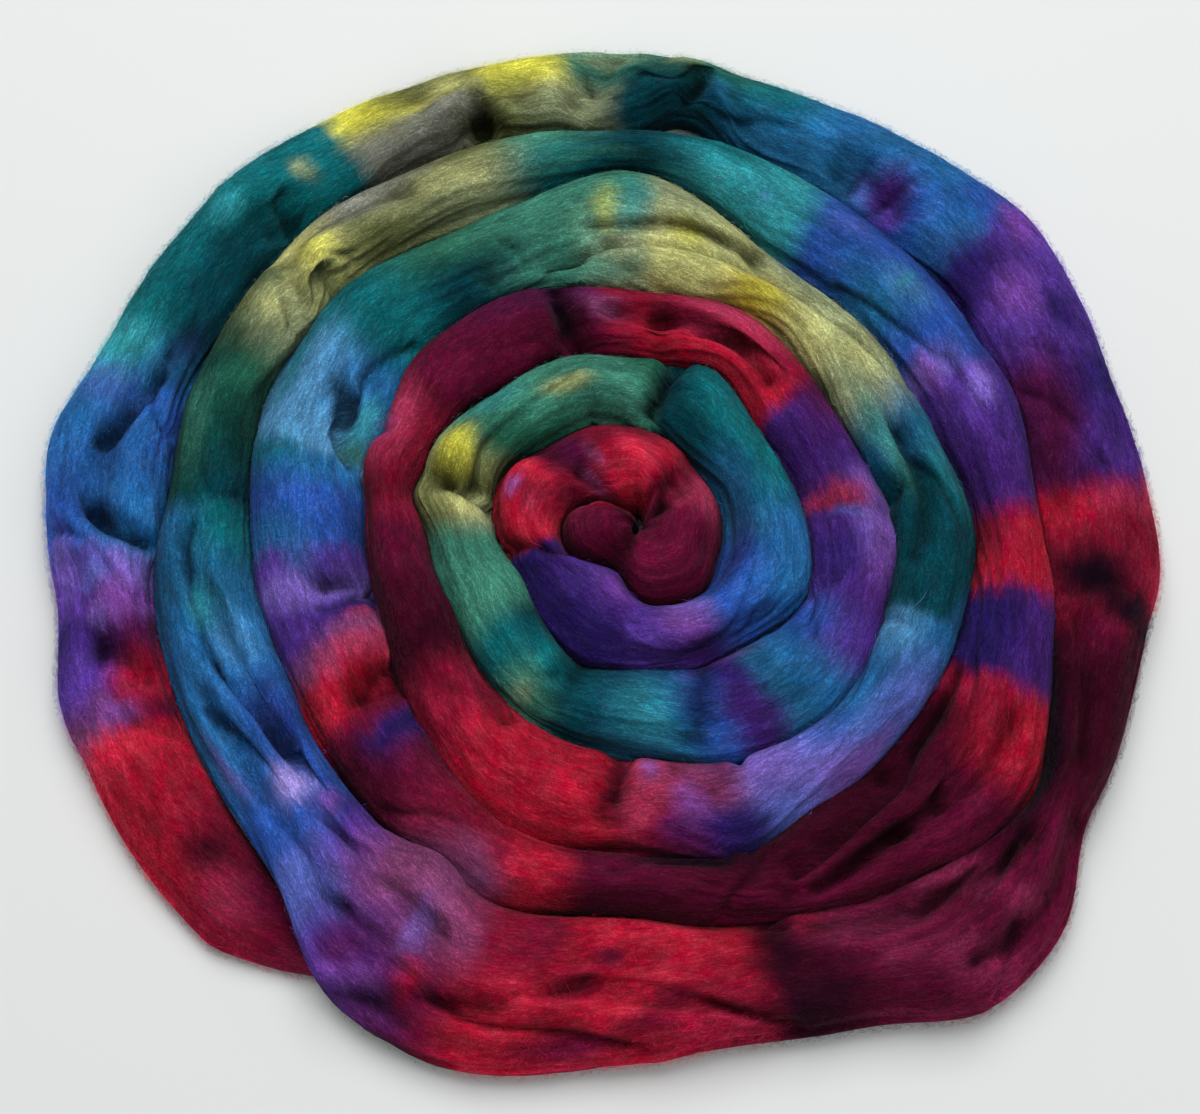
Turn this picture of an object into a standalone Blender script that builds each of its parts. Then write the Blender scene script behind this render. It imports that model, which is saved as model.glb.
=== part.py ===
"""A flat, loose coil of combed wool top (roving): one continuous soft strand.

The strand starts in the pit at the middle, winds outward counter-clockwise
for nearly six and a half turns and ends tucked under its own outermost turn at the front
left. It is one piece of fibre, so it is one solid. X runs to the right, Y away
from the front and Z up; the coil lies flat on z = 0.

Each turn is bounded by the groove between it and the next turn out. The
groove is a spiral, given by its radius in sixteen compass directions.
"""

import math

import bpy
import numpy as np

MM = 0.001

# ---------------------------------------------------------------- sizes, in mm
GAP = 1.6                # air between neighbouring turns at their fattest
CENTRE_GAP = 0.8         # added to it in the tight turns at the centre
CENTRE_STEPS = (36.0, 56.0)  # where the tight centre gives way to the open coil
CROWN = 33.0             # height of a strand of ordinary width
ORDINARY_WIDTH = 43.0
CROWN_RANGE = (27.0, 39.0)
CROWN_SHARE = 0.30       # how much a narrow strand stands up instead
LEAST_WIDTH = 12.0       # narrower than this counts as this wide
WIDTH_STEPS = 0.8        # how far along to each side the width is averaged
CENTRE_RISE = 3.0        # extra height of the first two turns
TIP_BASE = 8.0           # a strand squeezed very narrow is no taller than
TIP_SLOPE = 1.0          # this base plus this share of its width
BELLY_SHARE = 0.40       # height of the fattest level, as a share of the crown
ROUNDNESS = 2.35         # 2 is an ellipse, more is boxier
LEAST_TOP = 5.0          # nothing on top is lower than this
LEAST_TOP_SHARE = 0.8    # or than this share of a very low crown

RINGS = 330
RING_SAMPLES = 4000      # places at which the spacing of the rings is worked out
RING_SPREAD = 70.0       # larger puts more of the rings in the tight turns
TAIL_RING_SHARE = 1.6    # rings are this much closer along the tail and its bridge
FOLD_RING_SHARE = 1.0    # and this much more again across a sharp fold
FOLD_RING_STEPS = 0.32   # how far to each side of the fold, in steps
SHARP_FOLD = 5.0         # a lift or a hollow of at least this is sharp
TOP_STEPS = 11           # spans across the top half of a section
# The lower half of a section from its inner edge: share of width, share of belly
UNDERSIDE = (
    (0.02, 0.42),
    (0.11, 0.00),
    (0.37, 0.00),
    (0.63, 0.00),
    (0.89, 0.00),
    (0.98, 0.42),
)

# Radius of the groove outside each turn, in the sixteen directions in the
# order of winding. Turn 0 is the rim of the pit in the middle.
DIRECTIONS = 16
GROOVES = (
    # N   NNW   NW  WNW    W  WSW   SW  SSW    S  SSE   SE  ESE    E  ENE   NE  NNE
    (3, 3, 4, 5, 6, 6, 6, 5, 4, 3, 3, 3, 3, 3, 4, 6),
    (11, 13, 19, 32, 38, 34, 25, 25, 37, 41, 43, 39, 39, 40, 41, 46),
    (51, 56, 62, 72, 69, 61, 64, 69, 67, 72, 75, 83, 79, 77, 78, 88),
    (88, 97, 99, 105, 99, 97, 101, 107, 111, 121, 126, 122, 121, 113, 116, 125),
    (126, 138, 141, 131, 130, 129, 140, 156, 155, 154, 154, 155, 159, 150, 153, 162),
    (190, 181, 191, 194, 187, 180, 184, 191, 186, 197, 216, 206, 189, 192, 198, 202),
    (211, 219, 226, 229, 232, 230, 234, 264, 246, 251, 270, 243, 244, 243, 253, 247),
    (256, 262, 277, 278, 280, 279, 275, 240),
)
FIRST_STEP = 16.15       # where the strand starts, in sixteenths from turn 0 north
LAST_STEP = 119.15       # where it ends, hidden under the outermost turn

# Places between two directions where the groove wanders
WANDERS = (
    # turn, step, spread in steps, outward push
    (3, 3.60, 0.30, 6),
    (4, 3.35, 0.28, 6),
    (4, 8.75, 0.35, 9),
    (5, 6.70, 0.25, -7),
    (5, 9.60, 0.30, -4),
    (5, 10.50, 0.35, 6),
    (6, 3.75, 0.40, -6),
    (6, 6.45, 0.30, 5),
    (6, 8.50, 0.40, -3),
    (6, 9.50, 0.28, 8),
    (6, 10.40, 0.33, -13),
    (7, 1.70, 0.30, -4),
    (7, 2.60, 0.35, -3),
    (7, 3.60, 0.35, 6),
    (7, 4.35, 0.22, -4),
)

# Places where a turn draws back from its inner groove and leaves a hollow
TUCKS = (
    # turn, step, spread in steps, depth
    (3, 15.80, 0.35, 3),
    (6, 15.72, 0.24, 14),
    (7, 0.92, 0.26, 4),
    (7, 2.05, 0.30, 3),
)

# Lobes and creases on the top: each runs from one place on a turn to another
FOLD_REACH = 1.5         # a fold is not felt further than this along the strand
FOLDS = (
    # turn, from step, from across, to step, to across, half width, lift
    (1, 13.7, 0.25, 14.2, 1.00, 6, -10),
    (1, 15.3, 0.60, 16.3, 0.60, 9, 4),
    (1, 9.0, 0.60, 12.0, 0.60, 10, 3),
    (2, 0.0, 0.35, 1.0, 0.80, 10, 5),
    (2, 2.1, 0.20, 2.3, 0.90, 6, -6),
    (2, 4.6, 0.10, 6.8, 0.15, 8, 5),
    (2, 7.9, 0.90, 10.4, 0.84, 4, -7),
    (2, 13.0, 0.50, 14.6, 0.50, 10, 3),
    (3, 15.75, 0.00, 15.75, 0.75, 7, -12),
    (3, 0.2, 0.35, 0.9, 0.45, 11, 5),
    (3, 3.4, 0.00, 3.4, 0.75, 7, -12),
    (3, 3.0, 0.60, 3.0, 0.60, 10, 6),
    (3, 5.2, 0.50, 5.8, 0.50, 11, 4),
    (3, 7.0, 0.10, 6.7, 0.90, 8, -8),
    (3, 9.0, 0.00, 8.6, 0.75, 8, -7),
    (3, 10.6, 0.50, 11.6, 0.50, 12, 4),
    (3, 12.3, 0.30, 12.2, 0.90, 8, -6),
    (3, 14.2, 0.42, 16.3, 0.50, 5, -8),
    (4, 0.80, 0.10, 0.82, 0.90, 7, -16),
    (4, 1.3, 0.50, 1.6, 0.50, 12, 5),
    (4, 2.7, 0.05, 2.6, 0.70, 8, -6),
    (4, 3.1, 0.60, 3.1, 0.60, 11, 6),
    (4, 4.6, 0.50, 5.0, 0.50, 12, 4),
    (4, 6.3, 0.55, 6.3, 0.50, 11, 5),
    (4, 7.2, 0.50, 7.2, 0.50, 11, 5),
    (4, 7.7, 0.05, 7.7, 0.80, 7, -12),
    (4, 10.0, 0.55, 11.0, 0.55, 12, 4),
    (4, 11.7, 0.20, 12.9, 0.50, 6, -8),
    (4, 14.2, 0.80, 15.0, 0.72, 6, -14),
    (4, 15.0, 0.72, 16.3, 0.36, 6, -15),
    (5, 0.3, 0.36, 1.3, 0.16, 6, -12),
    (5, 2.2, 0.60, 2.9, 0.66, 12, 4),
    (5, 2.85, 0.42, 3.35, 0.05, 6, -13),
    (5, 3.05, 0.14, 3.12, 0.14, 8, 5),
    (5, 3.8, 0.30, 3.9, 0.50, 14, 6),
    (5, 4.52, 0.00, 4.5, 0.40, 8, -14),
    (5, 5.05, 0.25, 5.1, 0.40, 13, 6),
    (5, 5.5, 0.00, 5.45, 0.45, 8, -14),
    (5, 6.0, 0.45, 6.4, 0.45, 12, 4),
    (5, 8.9, 0.80, 9.7, 0.60, 6, -11),
    (5, 9.7, 0.60, 10.7, 0.64, 6, -11),
    (5, 9.0, 0.48, 9.9, 0.12, 6, -9),
    (5, 9.9, 0.12, 10.9, 0.12, 6, -8),
    (5, 13.2, 0.45, 14.3, 0.50, 14, 3),
    (6, 1.5, 0.60, 2.3, 0.80, 6, -8),
    (6, 2.3, 0.55, 2.42, 0.10, 7, -12),
    (6, 2.1, 0.30, 2.1, 0.35, 10, 6),
    (6, 3.1, 0.30, 3.1, 0.60, 12, 4),
    (6, 4.4, 0.40, 5.5, 0.20, 5, -10),
    (6, 5.6, 0.28, 6.9, 0.30, 5, -9),
    (6, 5.0, 0.72, 6.4, 0.62, 5, -8),
    (6, 6.8, 0.55, 7.6, 0.46, 5, -9),
    (6, 7.5, 0.46, 8.6, 0.78, 5, -9),
    (6, 6.6, 0.90, 7.9, 0.88, 5, -7),
    (6, 9.0, 0.12, 10.2, 0.22, 7, -12),
    (6, 9.6, 0.70, 10.4, 0.80, 7, -9),
    (6, 9.5, 0.45, 9.9, 0.50, 12, 6),
    (6, 10.7, 0.45, 11.4, 0.20, 7, -8),
    (6, 12.2, 0.20, 12.5, 0.80, 10, -5),
    (6, 14.35, 0.20, 14.7, 0.24, 11, -12),
    (6, 15.0, 0.55, 15.1, 0.60, 12, 5),
    (6, 15.3, 0.48, 15.75, 0.75, 9, 7),
    (7, 0.10, 0.85, 0.35, 0.25, 8, -9),
    (7, 0.90, 0.08, 0.88, 0.22, 10, -20),
    (7, 2.08, 0.08, 2.15, 0.15, 10, -18),
    (7, 0.48, 0.15, 0.48, 0.35, 13, 8),
    (7, 0.78, 0.52, 1.5, 0.10, 8, 9),
    (7, 1.15, 0.75, 1.15, 0.80, 12, -5),
    (7, 2.20, 0.75, 2.15, 0.30, 10, 7),
    (7, 3.2, 0.30, 3.55, 0.55, 6, -11),
    (7, 3.55, 0.55, 3.95, 0.48, 6, -11),
    (7, 3.95, 0.48, 4.08, 0.05, 7, -12),
    (7, 3.6, 0.25, 3.6, 0.25, 13, 7),
    (7, 3.9, 0.92, 4.35, 0.12, 8, 6),
    (7, 4.62, 0.45, 4.75, 0.15, 10, -12),
    (7, 5.2, 0.45, 5.5, 0.45, 14, 4),
)

# The inner end is lower and rises to full height from just before its tip
TIP_LEAD = 0.2           # how far before the tip the rise begins, in steps
TIP_STEPS = 1.1          # how far behind the tip it ends, in steps
TIP_SHARE = 0.45         # height where the rise begins, as a share of the crown

# The outer end, flattened where it passes under the outermost turn
TAIL = (
    # step, inner radius, outer radius, height
    (116.8, 230.6, 279.0, 30.0),
    (117.4, 230.6, 278.0, 26.0),
    (118.0, 235.1, 275.0, 19.0),
    (118.3, 235.0, 266.0, 13.0),
    (118.6, 226.0, 251.0, 11.0),
    (118.9, 216.0, 238.0, 8.6),
    (119.15, 211.0, 229.0, 6.0),
)
# The outermost turn rides over that end and drapes down beyond it
BRIDGE_CLEARANCE = 6.0
BRIDGE_RISE = 16.0       # height of its underside over the end
BRIDGE_RAMP_UP = (101.1, 101.9)
BRIDGE_RAMP_DOWN = (103.45, 104.5)
BRIDGE_TOP_SHARE = 0.55  # how much of that height shows on top
BRIDGE_EDGE = 9.0        # width over which it drops back beside the end

FIBRE_COLOUR = (0.12, 0.07, 0.16, 1.0)
FIBRE_ROUGHNESS = 0.95


def smooth(value, low, high):
    """0 below low, 1 above high and a soft ramp between."""
    share = min(max((value - low) / (high - low), 0.0), 1.0)
    return share * share * (3.0 - 2.0 * share)


def through(table, step, column):
    """A column of a table whose first column is the step, read at a step."""
    places = [row[0] for row in table]
    return float(np.interp(step, places, [row[column] for row in table]))


def groove(step):
    """Radius of the groove at a step, a smooth curve through the directions."""
    radii = [radius for turn in GROOVES for radius in turn]
    last = len(radii) - 1
    step = min(max(step, 0.0), float(last))
    here = min(int(step), last - 1)
    part = step - here
    before = radii[max(here - 1, 0)]
    start, end = radii[here], radii[here + 1]
    after = radii[min(here + 2, last)]
    rise_in, rise_out = (end - before) / 2, (after - start) / 2
    radius = (
        (2 * part**3 - 3 * part**2 + 1) * start
        + (part**3 - 2 * part**2 + part) * rise_in
        + (3 * part**2 - 2 * part**3) * end
        + (part**3 - part**2) * rise_out
    )
    for turn, place, spread, push in WANDERS:
        away = (step - turn * DIRECTIONS - place) / spread
        radius += push * math.exp(-away * away)
    return radius


def tuck(step):
    """How far the strand draws back from its inner groove at a step."""
    depth = 0.0
    for turn, place, spread, most in TUCKS:
        away = (step - turn * DIRECTIONS - place) / spread
        depth += most * math.exp(-away * away)
    return depth


def strand(step):
    """Inner radius, outer radius and crown height of the strand at a step."""
    centre = 1.0 - smooth(step, *CENTRE_STEPS)
    gap = GAP + CENTRE_GAP * centre
    inner = groove(step - DIRECTIONS) + gap / 2 + tuck(step)
    outer = groove(step) - gap / 2
    shares = []
    for nearby in (-WIDTH_STEPS, 0.0, WIDTH_STEPS):
        wide = groove(step + nearby) - groove(step + nearby - DIRECTIONS)
        shares.append((ORDINARY_WIDTH / max(wide, LEAST_WIDTH)) ** CROWN_SHARE)
    crown = min(max(CROWN * sum(shares) / len(shares), CROWN_RANGE[0]), CROWN_RANGE[1])
    crown += CENTRE_RISE * centre
    crown = min(crown, TIP_BASE + TIP_SLOPE * (outer - inner + tuck(step)))
    if step > TAIL[0][0]:
        inner = through(TAIL, step, 1)
        outer = through(TAIL, step, 2)
        crown = through(TAIL, step, 3)
    tip = smooth(step, FIRST_STEP - TIP_LEAD, FIRST_STEP + TIP_STEPS)
    crown *= TIP_SHARE + (1.0 - TIP_SHARE) * tip
    return inner, outer, crown


def bridge(step, radius):
    """Height of the underside where the outermost turn passes over the end."""
    rise = smooth(step, *BRIDGE_RAMP_UP) * (1.0 - smooth(step, *BRIDGE_RAMP_DOWN))
    if rise <= 0.0:
        return 0.0
    below = min(step + DIRECTIONS, LAST_STEP)
    edge = through(TAIL, below, 2) + BRIDGE_CLEARANCE
    return BRIDGE_RISE * rise * (1.0 - smooth(radius, edge, edge + BRIDGE_EDGE))


def fold_lift(step, across, width, radius):
    """What the lobes and creases add to the top at a place on the strand."""
    run = radius * 2.0 * math.pi / DIRECTIONS
    lift = 0.0
    for turn, step_a, across_a, step_b, across_b, half_width, most in FOLDS:
        start = turn * DIRECTIONS + step_a
        end = turn * DIRECTIONS + step_b
        if not min(start, end) - FOLD_REACH < step < max(start, end) + FOLD_REACH:
            continue
        ax, ay = (step - start) * run, (across - across_a) * width
        bx, by = (end - start) * run, (across_b - across_a) * width
        length = bx * bx + by * by
        along = min(max((ax * bx + ay * by) / length, 0.0), 1.0) if length else 0.0
        off = math.hypot(ax - along * bx, ay - along * by) / half_width
        lift += most * math.exp(-off * off)
    return lift


def section(step):
    """The closed outline of the strand at a step: (radius, height) pairs."""
    inner, outer, crown = strand(step)
    width = outer - inner
    middle = (inner + outer) / 2
    belly = crown * BELLY_SHARE
    outline = []
    for count in range(TOP_STEPS + 1):
        angle = math.pi * count / TOP_STEPS
        side = math.copysign(abs(math.cos(angle)) ** (2 / ROUNDNESS), math.cos(angle))
        up = abs(math.sin(angle)) ** (2 / ROUNDNESS)
        radius = middle + side * width / 2
        height = belly + (crown - belly) * up
        if 0 < count < TOP_STEPS:
            across = (radius - inner) / width
            height += fold_lift(step, across, width, middle) * math.sqrt(up)
            height = max(height, min(LEAST_TOP, crown * LEAST_TOP_SHARE))
        outline.append((radius, height))
    for across, share in UNDERSIDE:
        outline.append((inner + across * width, belly * share))
    lifted = []
    for radius, height in outline:
        floor = bridge(step, radius)
        kept = 1.0 - floor * (1.0 - BRIDGE_TOP_SHARE) / crown
        lifted.append((radius, floor + height * kept))
    return lifted


def sharp_places():
    """Steps of the folds and tucks that run across the strand."""
    places = [turn * DIRECTIONS + place for turn, place, _, _ in TUCKS]
    for turn, step_a, _, step_b, _, _, lift in FOLDS:
        if abs(lift) >= SHARP_FOLD and abs(step_a - step_b) < 2 * FOLD_RING_STEPS:
            places.append(turn * DIRECTIONS + (step_a + step_b) / 2)
    return np.array(places)


def ring_steps():
    """Steps at which the strand has a ring, closer together where it bends."""
    fine = np.linspace(FIRST_STEP, LAST_STEP, RING_SAMPLES)
    middles = np.array([sum(strand(step)[:2]) / 2 for step in fine])
    spans = np.diff(fine) * (2 * math.pi / DIRECTIONS) * (middles[1:] + RING_SPREAD)
    away = np.abs(fine[1:, None] - sharp_places()[None, :]).min(axis=1)
    spans *= 1.0 + FOLD_RING_SHARE * np.exp(-((away / FOLD_RING_STEPS) ** 2))
    bridging = (fine[1:] > BRIDGE_RAMP_UP[0]) & (fine[1:] < BRIDGE_RAMP_DOWN[1])
    spans[bridging | (fine[1:] > TAIL[0][0])] *= TAIL_RING_SHARE
    run = np.concatenate(([0.0], np.cumsum(spans)))
    return np.interp(np.linspace(0.0, run[-1], RINGS), run, fine)


def coil_mesh():
    """Vertices in metres and faces of the whole strand, with closed ends."""
    points = []
    for step in ring_steps():
        heading = math.pi / 2 + step * 2 * math.pi / DIRECTIONS
        for radius, height in section(step):
            points.append((radius * math.cos(heading), radius * math.sin(heading), height))
    points = np.array(points) * MM
    low, high = points.min(axis=0), points.max(axis=0)
    points -= ((low[0] + high[0]) / 2, (low[1] + high[1]) / 2, low[2])
    around = TOP_STEPS + 1 + len(UNDERSIDE)
    faces = []
    for ring in range(RINGS - 1):
        for place in range(around):
            near, next_place = ring * around + place, ring * around + (place + 1) % around
            faces.append((near, near + around, next_place + around))
            faces.append((near, next_place + around, next_place))
    faces.append(tuple(range(around)))
    faces.append(tuple(reversed(range((RINGS - 1) * around, RINGS * around))))
    return points, faces


def signed_volume(points, faces):
    """Six times the volume inside the faces, positive when they face out."""
    total = 0.0
    for face in faces:
        for second, third in zip(face[1:-1], face[2:]):
            total += np.dot(points[face[0]], np.cross(points[second], points[third]))
    return total


for leftover in list(bpy.data.objects):
    bpy.data.objects.remove(leftover)

coil_points, coil_faces = coil_mesh()
if signed_volume(coil_points, coil_faces) < 0:
    coil_faces = [tuple(reversed(face)) for face in coil_faces]

wool = bpy.data.materials.new("wool")
wool.use_nodes = True
shader = wool.node_tree.nodes["Principled BSDF"]
shader.inputs["Base Color"].default_value = FIBRE_COLOUR
shader.inputs["Roughness"].default_value = FIBRE_ROUGHNESS
shader.inputs["Metallic"].default_value = 0.0

coil_data = bpy.data.meshes.new("roving_coil")
coil_data.from_pydata(coil_points.tolist(), [], coil_faces)
coil_data.update()
coil_data.materials.append(wool)
coil = bpy.data.objects.new("roving_coil", coil_data)
bpy.context.scene.collection.objects.link(coil)
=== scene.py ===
"""The dressed model of a flat, loose coil of space-dyed combed wool top.

The coil is one strand. Its fine mesh follows the same spiral of grooves as the
solid, and adds the locks of fibre, the fine creases and the dye, with painted shade
in its hollows and grooves and painted light on its ridges and outer side. Two pieces
of laid fibres cover it, and three more have the loose fibres that stand off it, drawn
lighter as painted light. Places on the strand are given by a step, in sixteenths of
a turn counter-clockwise from north, and a share across it, 0 at its inner and 1 at
its outer edge.
"""

import math

import bpy
import numpy as np
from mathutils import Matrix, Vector


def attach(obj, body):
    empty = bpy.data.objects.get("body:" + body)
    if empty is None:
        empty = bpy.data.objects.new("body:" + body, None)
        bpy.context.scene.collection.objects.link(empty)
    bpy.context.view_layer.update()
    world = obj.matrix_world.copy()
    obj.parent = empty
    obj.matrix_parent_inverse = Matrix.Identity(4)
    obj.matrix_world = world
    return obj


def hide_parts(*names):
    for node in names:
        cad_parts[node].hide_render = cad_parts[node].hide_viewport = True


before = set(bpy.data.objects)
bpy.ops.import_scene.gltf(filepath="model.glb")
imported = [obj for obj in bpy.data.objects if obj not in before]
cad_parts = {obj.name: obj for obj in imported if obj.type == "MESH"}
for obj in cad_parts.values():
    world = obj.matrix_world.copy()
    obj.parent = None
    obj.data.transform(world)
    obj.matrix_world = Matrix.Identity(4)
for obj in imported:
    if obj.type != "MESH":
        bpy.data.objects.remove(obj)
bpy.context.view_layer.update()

MM = 0.001
TINY = 1e-9
DIRECTIONS = 16
CENTRE = (19.694, -2.265)  # of the spiral in the frame, mm

# ---- form of the coil
GAP = 0.3  # between turns, mm
CENTRE_GAP = 0.3  # and this much more before these steps
CENTRE_STEPS = (36.0, 56.0)
CROWN = 33.0  # height of a strand of ordinary width
ORDINARY_WIDTH = 43.0
CROWN_RANGE = (27.0, 39.0)
CROWN_SHARE = 0.30  # how much a narrow strand stands up
LEAST_WIDTH = 12.0
WIDTH_STEPS = 0.8  # its width is the mean of three places this far apart
CENTRE_RISE = 3.0
TIP_BASE = 8.0
BELLY_SHARE = 0.40  # of the height, where the strand is widest
ROUNDNESS = 2.08  # of the top of a section; 2 is an ellipse
UNDER_ROUNDNESS = 5.0  # of its underside, nearly flat
LEAST_TOP = 5.0
LEAST_TOP_SHARE = 0.8

RINGS = 1400
RING_SAMPLES = 16000
RING_SPREAD = 25.0  # mm added to the radius, for closer rings in the tight turns
CROSSING_SPREAD = 0.16  # steps over which rings crowd at a crease across the strand
CROSSING_SHARE = 2.2  # and how many more there are
CROSSING_EDGE = 4
TOP_SPANS = 54
UNDER_SPANS = 16
AROUND = TOP_SPANS + UNDER_SPANS
END_GAP = 1.001  # rings; keeps every place before the last ring

# Radius of the groove outside each turn in the sixteen directions, north first
GROOVES = (
    # N   NNW   NW  WNW    W  WSW   SW  SSW    S  SSE   SE  ESE    E  ENE   NE  NNE
    (1, 1, 2, 3, 4, 4, 4, 3, 2, 1, 1, 1, 1, 1, 2, 5),
    (11, 13, 19, 32, 38, 34, 25, 25, 37, 41, 43, 39, 39, 40, 41, 46),
    (51, 56, 62, 72, 69, 61, 64, 69, 67, 72, 75, 83, 79, 77, 78, 88),
    (88, 97, 99, 105, 99, 97, 101, 107, 111, 121, 126, 122, 121, 113, 116, 125),
    (126, 138, 141, 131, 130, 129, 140, 156, 155, 154, 154, 155, 159, 150, 153, 162),
    (190, 181, 191, 194, 187, 180, 184, 191, 186, 197, 216, 206, 189, 192, 198, 202),
    (211, 219, 226, 229, 232, 230, 234, 264, 246, 251, 270, 243, 244, 243, 253, 247),
    (256, 262, 277, 278, 280, 279, 275, 240),
)
FIRST_STEP = 16.15
LAST_STEP = 119.15

# In the tables below, a number on its own says which turn the rows after it are on,
# and steps past 16 are on the next one. Columns marked % are in hundredths.

# Places between two directions where the groove wanders
WANDERS = (
    # step, spread in steps, outward push in mm
    3, (3.6, 0.3, 6),
    4, (3.35, 0.28, 6), (8.75, 0.35, 9),
    5, (6.7, 0.25, -7), (9.6, 0.3, -4), (10.5, 0.35, 6),
    6, (3.75, 0.4, -6), (6.45, 0.3, 5), (8.5, 0.4, -3), (9.5, 0.28, 8), (10.4, 0.33, -13),
    7, (1.7, 0.3, -4), (2.6, 0.35, -3), (3.6, 0.35, 6), (4.35, 0.22, -4),
)

# Places where a turn draws back from its inner groove and leaves a hollow
TUCKS = (
    # step, spread in steps, depth in mm
    3, (15.8, 0.35, 3),
    6, (15.72, 0.24, 14),
    7, (0.92, 0.26, 4), (2.05, 0.3, 3),
)

# The outer end, flattened where it passes under the outermost turn
TAIL = np.array((
    # step, inner radius, outer radius, height
    (116.8, 230.6, 279.0, 30.0),
    (117.4, 230.5, 278.0, 26.0),
    (117.8, 231.9, 276.0, 21.5),
    (118.0, 235.0, 275.0, 19.0),
    (118.3, 234.5, 261.0, 13.0),
    (118.6, 225.5, 245.0, 11.0),
    (118.9, 216.0, 232.0, 8.6),
    (119.15, 211.0, 225.0, 6.0),
))
BRIDGE_CLEARANCE = 3.0
BRIDGE_RISE = 15.0
BRIDGE_RAMP_UP = (101.1, 101.9)
BRIDGE_RAMP_DOWN = (103.45, 104.5)
BRIDGE_TOP_SHARE = 0.55  # of the rise, that the top of the strand makes
BRIDGE_EDGE = 9.0
TIP_LEAD = 0.2
TIP_STEPS = 1.1
TIP_SHARE = 0.45

# Lobes and creases of the solid, each from one place on a turn to another
FOLD_REACH = 1.5
FOLDS = (
    # from step, across %, to step, across %, half width and lift in mm
    1, (13.7, 25, 14.2, 100, 6, -10), (15.3, 60, 16.3, 60, 9, 4), (9, 60, 12, 60, 10, 3),
    2, (0, 35, 1, 80, 10, 5), (2.1, 20, 2.3, 90, 6, -6), (4.6, 10, 6.8, 15, 8, 5),
       (7.9, 90, 10.4, 84, 4, -7), (13, 50, 14.6, 50, 10, 3), (15.48, 90, 15.75, 20, 7, -9),
    3, (15.75, 0, 15.75, 40, 7, -6), (0.1, 30, 0.9, 45, 11, 8), (3.4, 0, 3.4, 75, 7, -12),
       (3, 60, 3, 60, 10, 6), (5.2, 50, 5.8, 50, 11, 4), (7, 10, 6.7, 90, 8, -8),
       (9, 0, 8.6, 75, 8, -7), (10.6, 50, 11.6, 50, 12, 4), (12.3, 30, 12.2, 90, 8, -6),
       (14.2, 42, 16.3, 50, 5, -8),
    4, (0.8, 10, 0.82, 90, 6, -16), (0.62, 10, 0.62, 90, 9, -5), (1.3, 50, 1.6, 50, 12, 5),
       (2.7, 5, 2.6, 70, 8, -6), (3.1, 60, 3.1, 60, 11, 6), (4.6, 50, 5, 50, 12, 4),
       (6.3, 55, 6.3, 50, 11, 5), (7.2, 50, 7.2, 50, 11, 5), (7.74, 5, 7.72, 60, 9, -14),
       (10, 55, 11, 55, 12, 4), (11.7, 20, 12.9, 50, 6, -8), (14.2, 80, 15, 72, 6, -5),
       (15, 66, 16.3, 34, 6, -5),
    5, (0.55, 24, 1.3, 14, 6, -6), (2.2, 60, 2.9, 66, 12, 4), (2.85, 42, 3.35, 5, 6, -9),
       (3.05, 14, 3.12, 14, 8, 5), (3.8, 30, 3.9, 50, 14, 6), (4.52, 0, 4.5, 40, 8, -14),
       (5.05, 25, 5.1, 40, 13, 6), (5.5, 0, 5.45, 45, 8, -14), (6, 45, 6.4, 45, 12, 4),
       (8.9, 80, 9.7, 60, 6, -7), (9.7, 60, 10.7, 64, 6, -7), (9, 48, 9.9, 12, 6, -6),
       (9.9, 12, 10.9, 12, 6, -5), (13.2, 45, 14.3, 50, 14, 3),
    6, (1.5, 60, 2.3, 80, 6, -8), (2.3, 55, 2.42, 10, 7, -9), (2.1, 30, 2.1, 35, 10, 6),
       (2.12, 12, 2.3, 34, 5, 6), (3.1, 30, 3.1, 60, 12, 4), (4.4, 40, 5.5, 20, 5, -7),
       (5.6, 28, 6.9, 30, 5, -6), (5, 72, 6.4, 62, 5, -5), (7, 62, 7.7, 50, 5, -2),
       (7.5, 46, 8.6, 78, 5, -5), (6.6, 90, 7.9, 88, 5, -4), (9, 12, 10.2, 22, 7, -12),
       (9.6, 70, 10.4, 80, 7, -9), (9.5, 45, 9.9, 50, 12, 6), (10.7, 45, 11.4, 20, 7, -8),
       (12.2, 20, 12.5, 80, 10, -5), (14.35, 20, 14.7, 24, 11, -12), (15, 55, 15.1, 60, 12, 5),
       (15.3, 48, 15.75, 75, 9, 7),
    7, (0.1, 85, 0.35, 25, 8, -9), (0.9, 0, 0.88, 12, 7, -24), (1.28, 6, 1.04, 24, 5, 5),
       (1.04, 24, 0.88, 38, 5, 4), (0.88, 38, 0.72, 14, 5, 5),
    6, (16.05, 70, 15.82, 28, 7, 7), (15.74, 16, 15.62, 50, 4, -8), (15.62, 55, 15.5, 18, 5, 6),
    7, (2.08, 8, 2.15, 15, 10, -18), (0.48, 15, 0.48, 35, 13, 8), (0.78, 52, 1.5, 10, 8, 9),
       (1.15, 75, 1.15, 80, 12, -5), (2.2, 75, 2.15, 30, 10, 7), (3.2, 30, 3.55, 55, 6, -6),
       (3.55, 55, 3.95, 48, 6, -5), (3.95, 48, 4.08, 5, 7, -12), (3.6, 25, 3.6, 25, 13, 7),
       (3.9, 92, 4.35, 12, 8, 6), (4.62, 45, 4.75, 15, 10, -12), (5.2, 45, 5.5, 45, 14, 4),
)

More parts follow.
